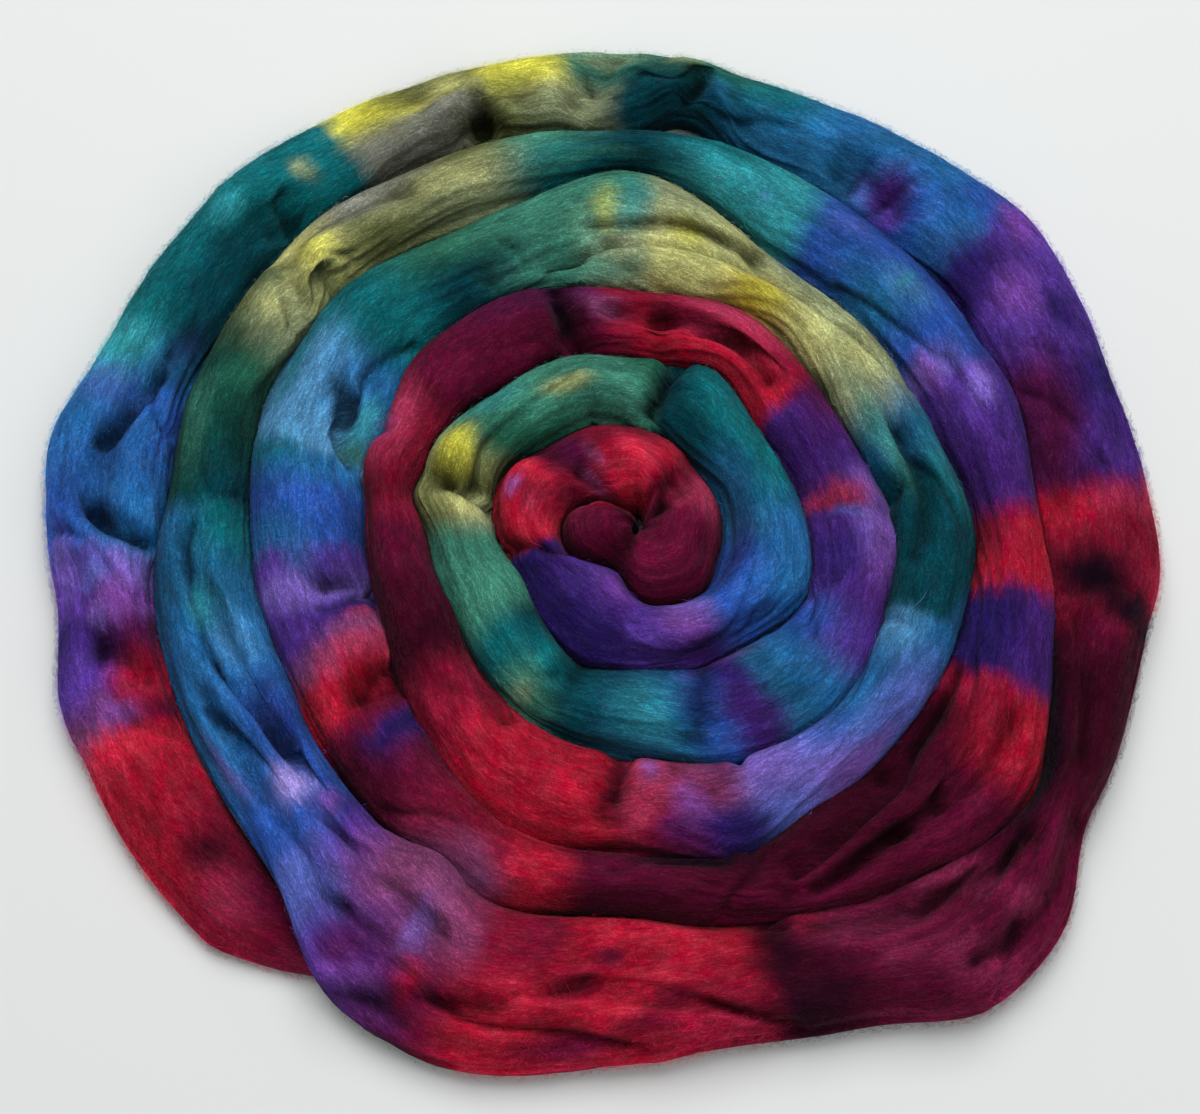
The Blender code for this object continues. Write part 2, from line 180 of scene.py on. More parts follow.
# Finer creases, each through two places or more
CREASES = (
    # half width and depth in mm, then step and across % of each place
    1, (3, 9, 14.45, 80, 14.62, 55, 14.75, 32, 15.2, 10), (3, 4, 12.9, 45, 13.9, 30, 14.7, 14),
       (2.2, 5, 3, 95, 3.35, 62, 3, 30),
    2, (2, 4.5, 1, 78, 1.9, 52, 2.7, 16), (2.4, 8, 4.5, 92, 4.62, 62, 4.85, 40, 5.1, 5),
       (2, 4.5, 8.6, 86, 9.6, 80, 10.2, 60, 10.8, 42), (1.6, 3.5, 8.3, 95, 9.9, 89, 10.4, 70),
       (3.2, 13, 15.46, 96, 15.58, 66, 15.64, 40, 15.8, 10), (6, 5, 15.35, 65, 15.42, 20),
    3, (2.4, 4, 0.95, 20, 1, 2), (2.2, 5, 0.9, 60, 2, 44, 3, 29, 3.3, 27, 3.6, 38),
       (2.6, 8, 3.42, 80, 3.45, 55, 3.58, 25, 3.72, 2), (2.4, 5, 6.5, 70, 6.7, 45, 6.8, 20),
       (2.2, 3.5, 9.45, 62, 9.6, 35, 9.9, 14), (2.2, 4, 10.3, 55, 10.6, 20, 10.9, 10),
       (2, 3.5, 11, 8, 11.4, 46, 11.9, 42, 12.2, 18), (2.4, 3.5, 13.7, 72, 13.9, 20),
       (2.2, 6, 14, 66, 15, 42, 16, 20), (1.8, 4, 14.6, 52, 15.4, 50, 16.1, 34),
    4, (3, 10, 0.84, 86, 0.86, 50, 0.92, 8), (2.6, 3.5, 2.45, 70, 2.6, 25),
       (2.6, 4, 3.05, 95, 3.2, 55), (2.4, 4, 5.85, 65, 5.98, 25), (3, 8, 6.45, 30, 6.6, 2),
       (3.6, 8, 7.74, 60, 7.78, 30, 7.84, 4), (3, 6, 8.95, 24, 8.95, 2),
       (2.6, 4.5, 10.6, 78, 10.95, 45, 11.02, 10),
       (2.2, 5, 11.7, 92, 12.4, 56, 12.7, 40, 13.2, 43), (3.4, 8, 12.3, 2, 12.5, 30),
       (2.5, 8, 13.3, 88, 14, 66, 14.7, 55, 15, 50, 15.35, 38, 15.75, 33, 16.28, 27, 16.55, 15,
        16.8, 8), (2.2, 7, 14.95, 72, 15.3, 62, 15.65, 56, 16.05, 46, 16.5, 42),
    5, (2, 4, 0.96, 18, 1.04, 40, 1.15, 60), (2.2, 7, 2.2, 6, 2.6, 26, 2.9, 34, 3.2, 28, 3.42, 6),
       (3, 4, 3.4, 84, 3.46, 45), (3, 8, 4.6, 2, 4.72, 40, 4.66, 64), (2.6, 7, 5.34, 2, 5.4, 42),
       (3.4, 5, 5.86, 10, 5.92, 75), (2, 4, 6.2, 88, 6.6, 50, 6.96, 12), (2.4, 4, 7, 70, 7.06, 26),
       (2.2, 4, 7.7, 40, 8, 10), (3, 5, 8.1, 8, 8.6, 8), (2.4, 5, 8.5, 95, 8.65, 50, 8.78, 10),
       (2.4, 7, 9, 80, 9.6, 60, 10, 55, 10.5, 44), (2.4, 7, 8.9, 62, 9.6, 32, 10.2, 13, 10.9, 10),
       (2, 4, 9.9, 66, 10.3, 36, 10.8, 26, 11.1, 14),
       (2.2, 5, 12.5, 68, 12.9, 50, 13.1, 43, 13.4, 39), (2.2, 5, 13.3, 32, 13.8, 15, 14.3, 4),
    6, (4, 12, 2.2, 2, 2.24, 14, 2.36, 20), (1.8, 4, 2.02, 10, 2.22, 36, 2.36, 10),
       (1.8, 4, 2.34, 80, 2.52, 32, 2.62, 6), (2.2, 4, 3.6, 55, 3.85, 36, 3.8, 8),
       (2.6, 9, 3.95, 50, 4.15, 60, 4.4, 55, 4.8, 57, 5, 46),
       (2.6, 10, 4.8, 57, 5, 46, 5.3, 30, 5.6, 20, 5.9, 16), (1.8, 4, 4, 74, 4.4, 56),
       (2.2, 6, 5, 78, 5.6, 50, 6, 36, 6.4, 18), (1.8, 4, 5.3, 34, 5.9, 16, 6.5, 6),
       (2.2, 7, 6.7, 64, 7.05, 68, 7.22, 74, 7.46, 75, 7.7, 82, 8, 94),
       (2.2, 7, 7.25, 60, 7.46, 52, 7.7, 47, 8, 52, 8.27, 62, 8.5, 78, 8.72, 95),
       (2, 4, 7.55, 68, 7.85, 62, 8.1, 66, 8.35, 78), (2, 5, 6.2, 72, 6.4, 60, 6.8, 58),
       (3, 6, 8.7, 2, 8.9, 14), (2, 5, 9.1, 50, 9.5, 36, 9.9, 30, 10.2, 16),
       (2, 5, 9.2, 28, 9.6, 20, 9.9, 12), (1.8, 4, 9.4, 56, 9.8, 50, 10.2, 36),
       (3.2, 5, 9.6, 100, 9.7, 80, 9.9, 62), (2.6, 4, 11.62, 85, 11.66, 50, 11.56, 12),
       (2.4, 4, 12.3, 70, 12.7, 35, 12.9, 10), (2.6, 4, 13, 60, 13.2, 20),
       (2.6, 5, 14.28, 70, 14.4, 30, 14.46, 4), (2.2, 4, 14.6, 60, 14.66, 8),
       (2.2, 4, 15, 44, 15.3, 28, 15.5, 10), (2.6, 7, 15.6, 62, 15.78, 36, 16.05, 46),
    7, (2.4, 5, 0.05, 20, 0.25, 40, 0.3, 70), (2.2, 6, 0.78, 2, 0.86, 20, 1.02, 4),
       (2.2, 6, 1.25, 40, 1.02, 48, 0.84, 62), (2.8, 7, 2.12, 0, 2.08, 24, 1.95, 42),
       (2.4, 7, 3, 20, 3.3, 30, 3.45, 42, 3.65, 62),
       (2.8, 9, 3.8, 66, 3.95, 56, 4.02, 40, 4.06, 10), (2, 5, 3.28, 32, 3.46, 4),
       (2.6, 7, 4.02, 90, 4.1, 56, 4.4, 10), (2.4, 4, 4.44, 50, 4.75, 58, 5, 40, 5.12, 10),
)

# ---- the dye
# Dyes, as display red, green and blue; some patches of the darkest ones are painted shade
SLOE_DYE_AND_PAINTED_SHADE = (34, 12, 32)
WINE_DYE_AND_PAINTED_SHADE = (68, 11, 37)
MAROON = (100, 20, 56)
PLUM = (88, 28, 78)
BERRY = (136, 48, 86)
CRIMSON = (140, 28, 60)
RED = (166, 32, 58)
SCARLET = (194, 48, 74)
ROSE = (176, 64, 98)
MAUVE = (130, 72, 112)
ORCHID = (130, 80, 158)
LILAC = (158, 144, 206)
LAVENDER = (124, 102, 178)
VIOLET = (92, 62, 146)
PURPLE = (76, 42, 116)
INDIGO = (52, 36, 102)
PERIWINKLE = (98, 112, 186)
BLUE = (50, 88, 160)
AZURE = (48, 112, 162)
SKY = (92, 148, 186)
STEEL = (40, 100, 136)
AQUA = (62, 152, 160)
TEAL = (20, 112, 118)
PETROL = (10, 70, 80)
JADE = (74, 136, 118)
PINE_DYE_AND_PAINTED_SHADE = (18, 70, 64)
GREEN = (44, 101, 82)
SAGE = (148, 156, 122)
OLIVE = (114, 118, 78)
STRAW = (184, 184, 124)
YELLOW = (200, 197, 84)
GOLD = (172, 156, 64)
GREY = (132, 134, 124)

# Where each bath of dye reached
BANDS = (
    # step, dye along the inner side, and along the outer side where it differs
    1, (0, WINE_DYE_AND_PAINTED_SHADE), (1.6, WINE_DYE_AND_PAINTED_SHADE, CRIMSON), (2.9, WINE_DYE_AND_PAINTED_SHADE, CRIMSON), (3.5, MAROON), (12.4, MAROON),
       (13.6, WINE_DYE_AND_PAINTED_SHADE, ROSE), (14.5, MAROON, CRIMSON), (15, CRIMSON, RED),
    2, (0, RED, CRIMSON), (1.2, RED, CRIMSON), (1.7, CRIMSON, MAROON), (2.2, MAROON),
       (2.5, CRIMSON, MAROON), (2.9, CRIMSON, RED), (4.5, RED), (4.72, PURPLE, INDIGO),
       (6.2, VIOLET, INDIGO), (7.4, PURPLE, INDIGO), (8.2, VIOLET), (9.2, LAVENDER, PURPLE),
       (10, BLUE), (11, BLUE, AZURE), (12, STEEL, AZURE), (13.2, STEEL, TEAL),
       (14.6, PETROL, TEAL), (15.5, PETROL), (15.8, JADE, GREEN),
    3, (0.6, JADE), (1.8, GREEN, JADE), (2.5, GREEN, JADE), (3.3, OLIVE), (3.9, SAGE, OLIVE),
       (4.3, JADE), (5.4, JADE), (5.9, PETROL, TEAL), (6.5, TEAL, JADE), (7.1, PETROL),
       (8.4, STEEL), (8.9, BLUE), (9.25, INDIGO), (9.75, STEEL), (10.1, AZURE),
       (10.6, BLUE, VIOLET), (11.2, VIOLET, PURPLE), (12.2, PURPLE, LAVENDER), (12.9, PURPLE),
       (13.7, PURPLE, PLUM), (14, RED, CRIMSON), (15, RED, ROSE), (15.9, RED, CRIMSON),
    4, (0.25, CRIMSON), (0.55, MAROON, PLUM), (2.3, MAROON), (2.8, CRIMSON, ROSE), (3.6, CRIMSON),
       (4.2, MAROON), (5.4, WINE_DYE_AND_PAINTED_SHADE), (5.9, CRIMSON), (6.6, RED), (7.6, RED), (8, ROSE, CRIMSON),
       (8.7, MAUVE, INDIGO), (9.1, LAVENDER, PERIWINKLE), (9.6, PERIWINKLE, LAVENDER),
       (10.1, AZURE, PERIWINKLE), (10.5, AZURE, PERIWINKLE), (11, SKY, AZURE), (11.2, PETROL),
       (12.4, PETROL), (12.9, STEEL), (13.5, SAGE), (14.3, STRAW, SAGE), (14.9, GOLD, SAGE),
       (15.4, STRAW, SAGE), (15.8, STRAW, SAGE),
    5, (0.02, SAGE, JADE), (0.7, JADE), (1.5, PETROL, GREEN), (2.2, TEAL), (2.7, AZURE, SKY),
       (3.3, SKY), (3.5, AZURE, STEEL), (3.8, BLUE), (4.12, BLUE, AZURE), (4.28, VIOLET),
       (4.5, LAVENDER), (4.75, INDIGO, VIOLET), (4.9, MAUVE, VIOLET), (5.12, ROSE, MAUVE),
       (5.32, RED), (5.5, CRIMSON, RED), (5.65, MAROON), (5.85, INDIGO, WINE_DYE_AND_PAINTED_SHADE), (6.2, MAROON),
       (6.9, CRIMSON, MAUVE), (7.25, RED), (7.7, MAROON, WINE_DYE_AND_PAINTED_SHADE), (9, WINE_DYE_AND_PAINTED_SHADE, MAROON),
       (10.2, WINE_DYE_AND_PAINTED_SHADE, MAROON), (10.5, WINE_DYE_AND_PAINTED_SHADE, RED), (10.85, CRIMSON, RED), (11, INDIGO, PURPLE),
       (11.45, INDIGO, PURPLE), (11.6, RED), (12, CRIMSON, RED), (12.2, PURPLE), (13.1, VIOLET),
       (13.25, LAVENDER, BLUE), (13.5, BLUE), (14, STEEL, BLUE), (14.65, BLUE), (14.9, AQUA),
       (15.5, AQUA, TEAL),
    6, (0, PETROL), (0.6, TEAL, JADE), (1, SAGE, OLIVE), (1.8, OLIVE, GREY), (2.2, STRAW),
       (2.6, SAGE, OLIVE), (3, GREEN, PINE_DYE_AND_PAINTED_SHADE), (3.4, PINE_DYE_AND_PAINTED_SHADE), (3.8, PETROL, PINE_DYE_AND_PAINTED_SHADE), (4, TEAL, STEEL),
       (4.4, STEEL), (4.75, AZURE), (5.3, BLUE, AZURE), (5.9, BLUE), (6.15, VIOLET, PERIWINKLE),
       (6.4, MAUVE, VIOLET), (6.8, MAUVE, PLUM), (7.2, CRIMSON, RED), (7.8, RED),
       (8.5, RED, CRIMSON), (8.75, WINE_DYE_AND_PAINTED_SHADE), (9.3, MAROON), (10.2, MAROON), (10.7, WINE_DYE_AND_PAINTED_SHADE),
       (11.3, WINE_DYE_AND_PAINTED_SHADE), (11.55, CRIMSON), (11.75, CRIMSON), (12.15, RED, CRIMSON),
       (12.35, PLUM, PURPLE), (12.9, PLUM, INDIGO), (13.3, VIOLET), (13.8, INDIGO, VIOLET),
       (13.95, AZURE, BLUE), (14.3, BLUE, AZURE), (14.8, STEEL, AZURE), (15.2, STEEL, TEAL),
       (15.7, PETROL, GREEN),
    7, (0.05, PETROL, JADE), (0.3, SAGE, JADE), (0.5, SAGE, YELLOW), (0.75, OLIVE, YELLOW),
       (0.9, OLIVE), (1.1, GREY, OLIVE), (1.4, GREY, YELLOW), (1.55, GREY, YELLOW), (1.66, TEAL),
       (1.9, TEAL), (2.4, PETROL, TEAL), (2.9, PETROL, TEAL), (3.1, STEEL, AQUA),
       (3.35, BLUE, AZURE), (4.05, AZURE, BLUE), (4.25, LAVENDER, VIOLET), (4.4, ORCHID, VIOLET),
       (4.52, PLUM, INDIGO), (4.75, CRIMSON, VIOLET), (4.95, MAROON, MAUVE), (5.08, RED, SCARLET),
       (5.3, RED), (5.6, CRIMSON, RED), (6, MAROON, CRIMSON), (6.4, WINE_DYE_AND_PAINTED_SHADE, MAROON),
       (7.2, MAROON, WINE_DYE_AND_PAINTED_SHADE),
)

# Where the dye pooled or was missed, in soft patches; the darkest patches in some pits, folds and
# grooves are painted shade
PATCHES = (
    # step, across %, half length in steps %, half width across %, dye, strength %
    1, (2.4, 75, 100, 30, RED, 60), (3.1, 85, 30, 15, MAUVE, 70), (12.9, 80, 90, 16, ROSE, 50),
       (14.6, 45, 30, 35, WINE_DYE_AND_PAINTED_SHADE, 70),
    2, (0.3, 45, 80, 30, SCARLET, 80), (1.45, 62, 14, 16, MAUVE, 75),
       (1.95, 36, 14, 16, MAUVE, 75), (2.25, 10, 16, 14, MAUVE, 60), (1.9, 72, 28, 24, PLUM, 60),
       (2.75, 80, 25, 16, SCARLET, 70), (3, 45, 22, 18, SCARLET, 60), (2.9, 15, 40, 16, WINE_DYE_AND_PAINTED_SHADE, 50),
       (3.35, 74, 22, 12, LAVENDER, 55), (3.7, 42, 30, 10, ROSE, 50),
       (4.2, 35, 25, 30, SCARLET, 60), (5, 5, 40, 10, ORCHID, 50), (7, 22, 80, 15, ORCHID, 35),
       (8.9, 45, 55, 30, ORCHID, 70), (11.4, 15, 120, 16, INDIGO, 50),
       (12.7, 60, 40, 30, TEAL, 50),
    3, (1.2, 52, 35, 13, STRAW, 75), (1.7, 35, 50, 20, JADE, 70), (2.1, 78, 40, 20, AQUA, 40),
       (2.7, 55, 30, 16, JADE, 70), (3.02, 63, 34, 22, YELLOW, 100), (3.15, 24, 35, 16, OLIVE, 70),
       (3.75, 42, 20, 30, STRAW, 75), (6, 60, 30, 35, TEAL, 60), (6.45, 75, 18, 34, JADE, 80),
       (6.5, 80, 11, 18, SAGE, 50), (8, 50, 40, 40, AQUA, 50), (9, 30, 50, 18, INDIGO, 50),
       (9.3, 70, 28, 34, PURPLE, 80), (9.3, 8, 60, 8, ORCHID, 40), (10.8, 30, 25, 22, BLUE, 50),
       (11.5, 25, 45, 28, INDIGO, 90), (11.8, 78, 60, 16, ORCHID, 50),
       (12.4, 40, 17, 40, ROSE, 95), (12.34, 30, 7, 20, RED, 60),
       (12.18, 40, 10, 20, PERIWINKLE, 50), (15.4, 48, 50, 14, MAROON, 60),
    # Painted shade: the dark patches at 0.68 and 0.8 stand in for the shade in the dip beside the
    # fold at 0.8
    4, (0.4, 62, 20, 20, MAUVE, 80), (1.1, 35, 20, 40, WINE_DYE_AND_PAINTED_SHADE, 50), (0.68, 45, 13, 50, WINE_DYE_AND_PAINTED_SHADE, 70),
       (0.8, 55, 5, 50, SLOE_DYE_AND_PAINTED_SHADE, 80), (3.05, 85, 16, 22, ORCHID, 50), (3.2, 60, 30, 25, ROSE, 50),
       (4.75, 50, 35, 40, WINE_DYE_AND_PAINTED_SHADE, 40), (6.1, 15, 40, 15, WINE_DYE_AND_PAINTED_SHADE, 50), (7.8, 50, 12, 45, WINE_DYE_AND_PAINTED_SHADE, 50),
       # Painted shade: the darkest patch at 7.72 stands in for the shade in the pit at 7.74
       (7.72, 25, 8, 20, SLOE_DYE_AND_PAINTED_SHADE, 50), (7.95, 55, 16, 30, ROSE, 70), (8.06, 16, 10, 16, LAVENDER, 60),
       (8.25, 84, 16, 16, INDIGO, 60), (8.32, 14, 10, 14, SLOE_DYE_AND_PAINTED_SHADE, 50),
       (8.42, 50, 14, 26, ORCHID, 70), (8.6, 30, 16, 20, MAROON, 60),
       (8.76, 78, 26, 24, INDIGO, 90), (8.78, 12, 12, 12, PLUM, 60),
       (9.25, 30, 25, 40, LAVENDER, 60), (9.9, 85, 35, 14, ORCHID, 60),
       (9.85, 25, 25, 25, BLUE, 50), (11.28, 92, 20, 10, AZURE, 80), (12.6, 80, 50, 20, AQUA, 40),
       (13.1, 72, 35, 20, STEEL, 50), (12.9, 25, 50, 14, JADE, 60), (13.7, 55, 25, 20, STRAW, 60),
       (14.7, 88, 25, 12, STEEL, 40), (14.8, 26, 25, 12, YELLOW, 60),
       (15.2, 70, 30, 20, STRAW, 50), (15.6, 45, 14, 12, YELLOW, 70),
    5, (0.25, 62, 10, 16, YELLOW, 40), (0.02, 62, 14, 20, AQUA, 40), (0.05, 38, 25, 8, SAGE, 60),
       (0.3, 12, 40, 10, JADE, 60), (1.3, 75, 50, 20, JADE, 40), (2.25, 50, 20, 30, TEAL, 50),
       (2.6, 93, 60, 10, TEAL, 80), (3.05, 12, 25, 12, AQUA, 80), (3.3, 10, 10, 10, JADE, 80),
       (3.45, 78, 12, 25, TEAL, 50), (4.05, 30, 20, 30, BLUE, 40), (4.25, 55, 14, 16, AZURE, 60),
       # Painted shade: the darkest patches at 4.64 and 5.4 stand in for the shade in the hollows
       # by the inner groove
       (4.82, 20, 6, 16, ROSE, 50), (4.64, 3, 12, 10, SLOE_DYE_AND_PAINTED_SHADE, 90), (5.4, 3, 10, 12, SLOE_DYE_AND_PAINTED_SHADE, 90),
       (5.35, 60, 15, 35, RED, 50), (6.5, 60, 25, 30, CRIMSON, 40), (6.6, 85, 20, 14, MAUVE, 50),
       # Painted shade: the darkest patch at 8.4 stands in for the shade of the hollow by the inner
       # groove
       (7.3, 45, 20, 35, RED, 50), (8.4, 6, 45, 16, SLOE_DYE_AND_PAINTED_SHADE, 100), (13.02, 66, 14, 14, LAVENDER, 90),
       (13.25, 15, 20, 12, ORCHID, 60), (13, 85, 50, 14, INDIGO, 50), (13.9, 60, 20, 20, SKY, 50),
       (13.95, 60, 3.5, 16, AQUA, 60), (14.5, 70, 20, 20, PERIWINKLE, 40),
       (15.05, 50, 30, 35, AQUA, 50), (15.15, 45, 5, 8, SKY, 60),
    6, (0.45, 25, 40, 15, JADE, 50), (1.25, 45, 30, 20, STRAW, 40), (2.15, 40, 10, 28, YELLOW, 60),
       # Painted shade: the dark green patches at 2.24 and 2.42 stand in for the shade in the
       # creases there
       (2.24, 8, 7, 12, PINE_DYE_AND_PAINTED_SHADE, 80), (2.42, 75, 14, 25, PINE_DYE_AND_PAINTED_SHADE, 70), (2.6, 30, 10, 20, STRAW, 50),
       (2.8, 75, 15, 20, GREEN, 40), (3.4, 65, 30, 20, JADE, 50), (4.5, 46, 14, 14, AQUA, 60),
       (4.75, 30, 20, 16, SKY, 40), (5.35, 20, 25, 14, INDIGO, 40),
       (5.45, 85, 20, 10, LAVENDER, 50), (5.7, 40, 13, 20, LILAC, 100),
       (5.92, 24, 8, 16, ORCHID, 70), (6.02, 10, 10, 12, INDIGO, 70),
       (6.3, 25, 14, 22, ORCHID, 50), (6.25, 62, 12, 20, PERIWINKLE, 60),
       (6.5, 75, 12, 16, PLUM, 80), (6.78, 45, 7, 18, LAVENDER, 60),
       (6.62, 92, 20, 10, ORCHID, 50), (6.85, 72, 6, 12, RED, 70), (7, 25, 15, 25, MAUVE, 50),
       (7.3, 84, 12, 14, SCARLET, 50), (7.38, 50, 12, 12, SCARLET, 50),
       (7.45, 15, 14, 12, MAROON, 60), (7.66, 50, 12, 14, MAROON, 50),
       (7.66, 90, 24, 10, PLUM, 60), (7.82, 32, 7, 9, MAROON, 90), (7.96, 65, 10, 10, SCARLET, 60),
       (8.03, 77, 14, 8, MAROON, 60), (8.15, 62, 12, 8, MAROON, 50),
       (8.15, 42, 14, 12, SCARLET, 60), (8.25, 12, 16, 12, SCARLET, 60),
       (8.96, 10, 12, 10, CRIMSON, 70), (9.15, 22, 22, 18, BERRY, 70),
       (9.42, 20, 12, 18, BERRY, 90), (9.75, 10, 20, 10, BERRY, 90), (9.62, 70, 20, 22, BERRY, 80),
       (9.92, 60, 9, 12, BERRY, 90), (9.88, 30, 12, 12, BERRY, 60), (9.3, 55, 14, 16, BERRY, 50),
       # Painted shade: the darkest patch at 10.6 stands in for the shade of the low inner side by
       # the groove
       (10.6, 8, 60, 20, SLOE_DYE_AND_PAINTED_SHADE, 100), (8.7, 35, 14, 14, SLOE_DYE_AND_PAINTED_SHADE, 50), (8.85, 75, 24, 24, SLOE_DYE_AND_PAINTED_SHADE, 70),
       (10.1, 30, 20, 30, WINE_DYE_AND_PAINTED_SHADE, 40), (11.35, 35, 15, 25, MAROON, 80),
       (11.54, 66, 10, 26, SLOE_DYE_AND_PAINTED_SHADE, 100), (11.45, 92, 10, 24, SLOE_DYE_AND_PAINTED_SHADE, 100),
       (11.68, 36, 21, 34, SLOE_DYE_AND_PAINTED_SHADE, 100), (12.15, 80, 10, 30, ROSE, 40), (12.6, 25, 25, 20, WINE_DYE_AND_PAINTED_SHADE, 50),
       (12.5, 75, 25, 20, VIOLET, 40), (13.45, 45, 18, 26, ORCHID, 60),
       (13.78, 90, 14, 12, ORCHID, 70), (13.28, 74, 14, 20, INDIGO, 80),
       (13.05, 75, 10, 14, VIOLET, 60), (13.9, 15, 15, 25, INDIGO, 50),
       (14.45, 26, 16, 28, PURPLE, 100), (14.34, 8, 8, 10, VIOLET, 80),
       (14.62, 16, 5, 14, PERIWINKLE, 50), (14.6, 75, 15, 20, STEEL, 50),
       (15, 50, 25, 25, AZURE, 40), (15.75, 80, 10, 20, SAGE, 60),
    7, (0.15, 92, 20, 14, SAGE, 60), (0.55, 60, 14, 25, YELLOW, 80), (0.98, 64, 14, 20, STRAW, 90),
       (1.2, 55, 10, 14, YELLOW, 50), (0.96, 34, 14, 12, GREY, 80),
    6, (15.92, 42, 16, 34, PETROL, 60), (15.58, 36, 8, 20, STEEL, 60),
    7, (1.25, 85, 14, 12, OLIVE, 60), (1.85, 48, 5, 18, STRAW, 45), (2.28, 58, 10, 18, AQUA, 60),
       (3.05, 75, 12, 30, AQUA, 50), (3.3, 70, 12, 25, PERIWINKLE, 40),
       (3, 15, 15, 15, INDIGO, 40), (3.5, 20, 20, 16, AZURE, 50), (4.2, 85, 15, 16, LAVENDER, 70),
       (4.28, 52, 8, 16, PERIWINKLE, 70), (4.38, 32, 12, 20, ORCHID, 70),
       (4.45, 50, 5, 14, LAVENDER, 70), (4.78, 34, 14, 22, RED, 80),
       (4.62, 82, 16, 18, VIOLET, 70), (4.94, 58, 7, 20, ORCHID, 70), (4.9, 86, 7, 14, INDIGO, 50),
       (5.7, 45, 10, 26, SLOE_DYE_AND_PAINTED_SHADE, 80), (5.9, 55, 14, 24, ROSE, 40), (6.45, 85, 20, 14, ROSE, 40),
)

# ---- the surface, in mm
CREASE_REACH = 0.9  # steps
CREASE_SCALE = 0.90
CREASE_WIDTH = 1.35
CREASE_SHARPNESS = 1.35
CREASE_TAPER = 8.0  # over which a crease dies out at its ends
EDGE_SHARE = 0.12  # nearer an edge than this, it runs into the groove
SWELL_WIDTH = 3.0
SWELL_SHARE = 0.28
LUMP_DEPTH = 3.0  # soft lumps
LOCK_DEPTH = 0.75  # ridges of the locks of fibre
WISP_DEPTH = 0.32  # and of the wisps in them
LOCK_WANDER = 12.0
LAY_RINGS = 16  # the lay of the fibre runs straight past folds this short
FLOOR_FADE = (2.0, 12.0)
DEEPEST_SHARE = 0.38  # of the height there, for the deepest crease
SIDE_DEPTH = -0.25  # that a steep side may draw in; it swells, so that turns touch
SIDE_SLOPE = 22.0

# Random waves: their lengths along and about the strand in mm, and their seed
WANDER_WAVES = (60.0, 30.0, 11)
LUMP_WAVES = (42.0, 26.0, 12)
LOCK_WAVES = (70.0, 6.5, 13)
WISP_WAVES = (26.0, 2.3, 14)
DYE_STREAKS = (90.0, 2.2, 21)
DYE_BLOTS = (14.0, 9.0, 22)
DYE_EDGES = (22.0, 18.0, 23)
CLOUDS = (19.0, 11.0, 24)
SMALL_CLOUDS = (8.0, 5.0, 25)
DRIFT_WAVES = (48.0, 17.0, 31)
TONE_WAVES = (60.0, 3.0, 32)
NOISE_SIZE = 256

DYE_DEPTH = 1.18  # light is lost between fibres, so one fibre is purer in colour
DYE_GAIN = 1.26
STREAK = 2.5  # the dye's borders run this far along the strand
BLOT = 3.0
RUN_LEAD = 10.0  # added to the run of a step, so that these stay short in tight turns
EDGE_WANDER = 0.10  # share across
SIDE_RANGE = (0.2, 0.8)  # shares over which the inner dye turns into the outer
PATCH_EDGE = 1.5
CLOUD = 0.24  # how unevenly the wool took the dye
SMALL_CLOUD_SHARE = 0.7

# Painted shade in the hollows and painted light on the ridges of the strand
HOLLOW_BOX = (3, 6)  # rings and places round them that count as nearby
HOLLOW_RANGE = (-2.5, 0.4, 4.4)  # below the surface nearby
HOLLOW_PAINTED_LIGHT_AND_SHADE = (1.22, 1.0, 0.18)
GROOVE_SHADE = 0.55  # how much darker the steep sides are, deep between the turns
# Facing is the upward part of a surface's direction, 1 on top and -1 underneath
STEEP_TOP = (0.5, 0.0)
STEEP_UNDER = (-0.7, -0.3)
OPEN_SHARES = (0.72, 0.95)
OPEN_FACING = (0.75, 0.25)
OPEN_PAINTED_LIGHT = 0.6  # painted light: how much lighter the outer side is, as light gets through it
OPEN_COVER = 10.0  # how much denser its loose fibres are
OPEN_LIFT = 0.2  # how much further they stand off
OPEN_FIBRE_PAINTED_LIGHT = 0.4  # and how much lighter they are, as painted light
STRAND_PAINTED_SHADE = 0.85  # painted shade: how dark the strand is drawn under its fibres

# ---- the wool's texture
# Waves: lengths along and about in mm, kind, detail and distortion
RIDGED = "RIDGED_MULTIFRACTAL"
CURLS = (3.0, 1.2, RIDGED, 4.0, 1.3)
STREAKS = (16.0, 3.2, RIDGED, 4.0, 0.7)
MOTTLE = (9.0, 6.0, "FBM", 3.0, 0.0)
DETAIL_ROUGHNESS = 0.6
RIDGE_RANGE = (0.8, 1.8)
CURL_LIGHTNESS = (0.70, 1.42)
STREAK_LIGHTNESS = (0.84, 1.22)
MOTTLE_RANGE = (0.30, 0.70)
MOTTLE_SATURATION = (0.97, 1.02)
ROUGHNESS = (0.78, 0.98)
SPECULAR = 0.05
SHEEN_ROUGHNESS = 0.25
RELIEF = 0.8
# Height of the curls in mm, and sheen
STRAND_LOOK = (0.22, 0.04)
FIBRE_LOOK = (0.05, 0.01)
MAP_ROWS = 6
MAP_MARGIN = 0.01
MAP_SLACK = 1.02

# ---- the fibres, in mm
FIBRES = (
    # name, pieces, first seed less 1, fibres a piece, whether they lie on the surface,
    # ranges of length, width and lift, spread of directions in radians, points along
    # each, and bow as a share of its length
    ("laid_fibres", 2, 100, 10000, True, (5.0, 15.0), (0.09, 0.17), (0.10, 0.90), 0.55, 4, 0.13),
    ("loose_fibres", 3, 200, 9000, False, (2.0, 6.0), (0.05, 0.10), (0.4, 2.8), 0.9, 5, 0.26),
)
LOOSE_REACH = (0.55, 1.0)  # how much of its arch a loose fibre runs through
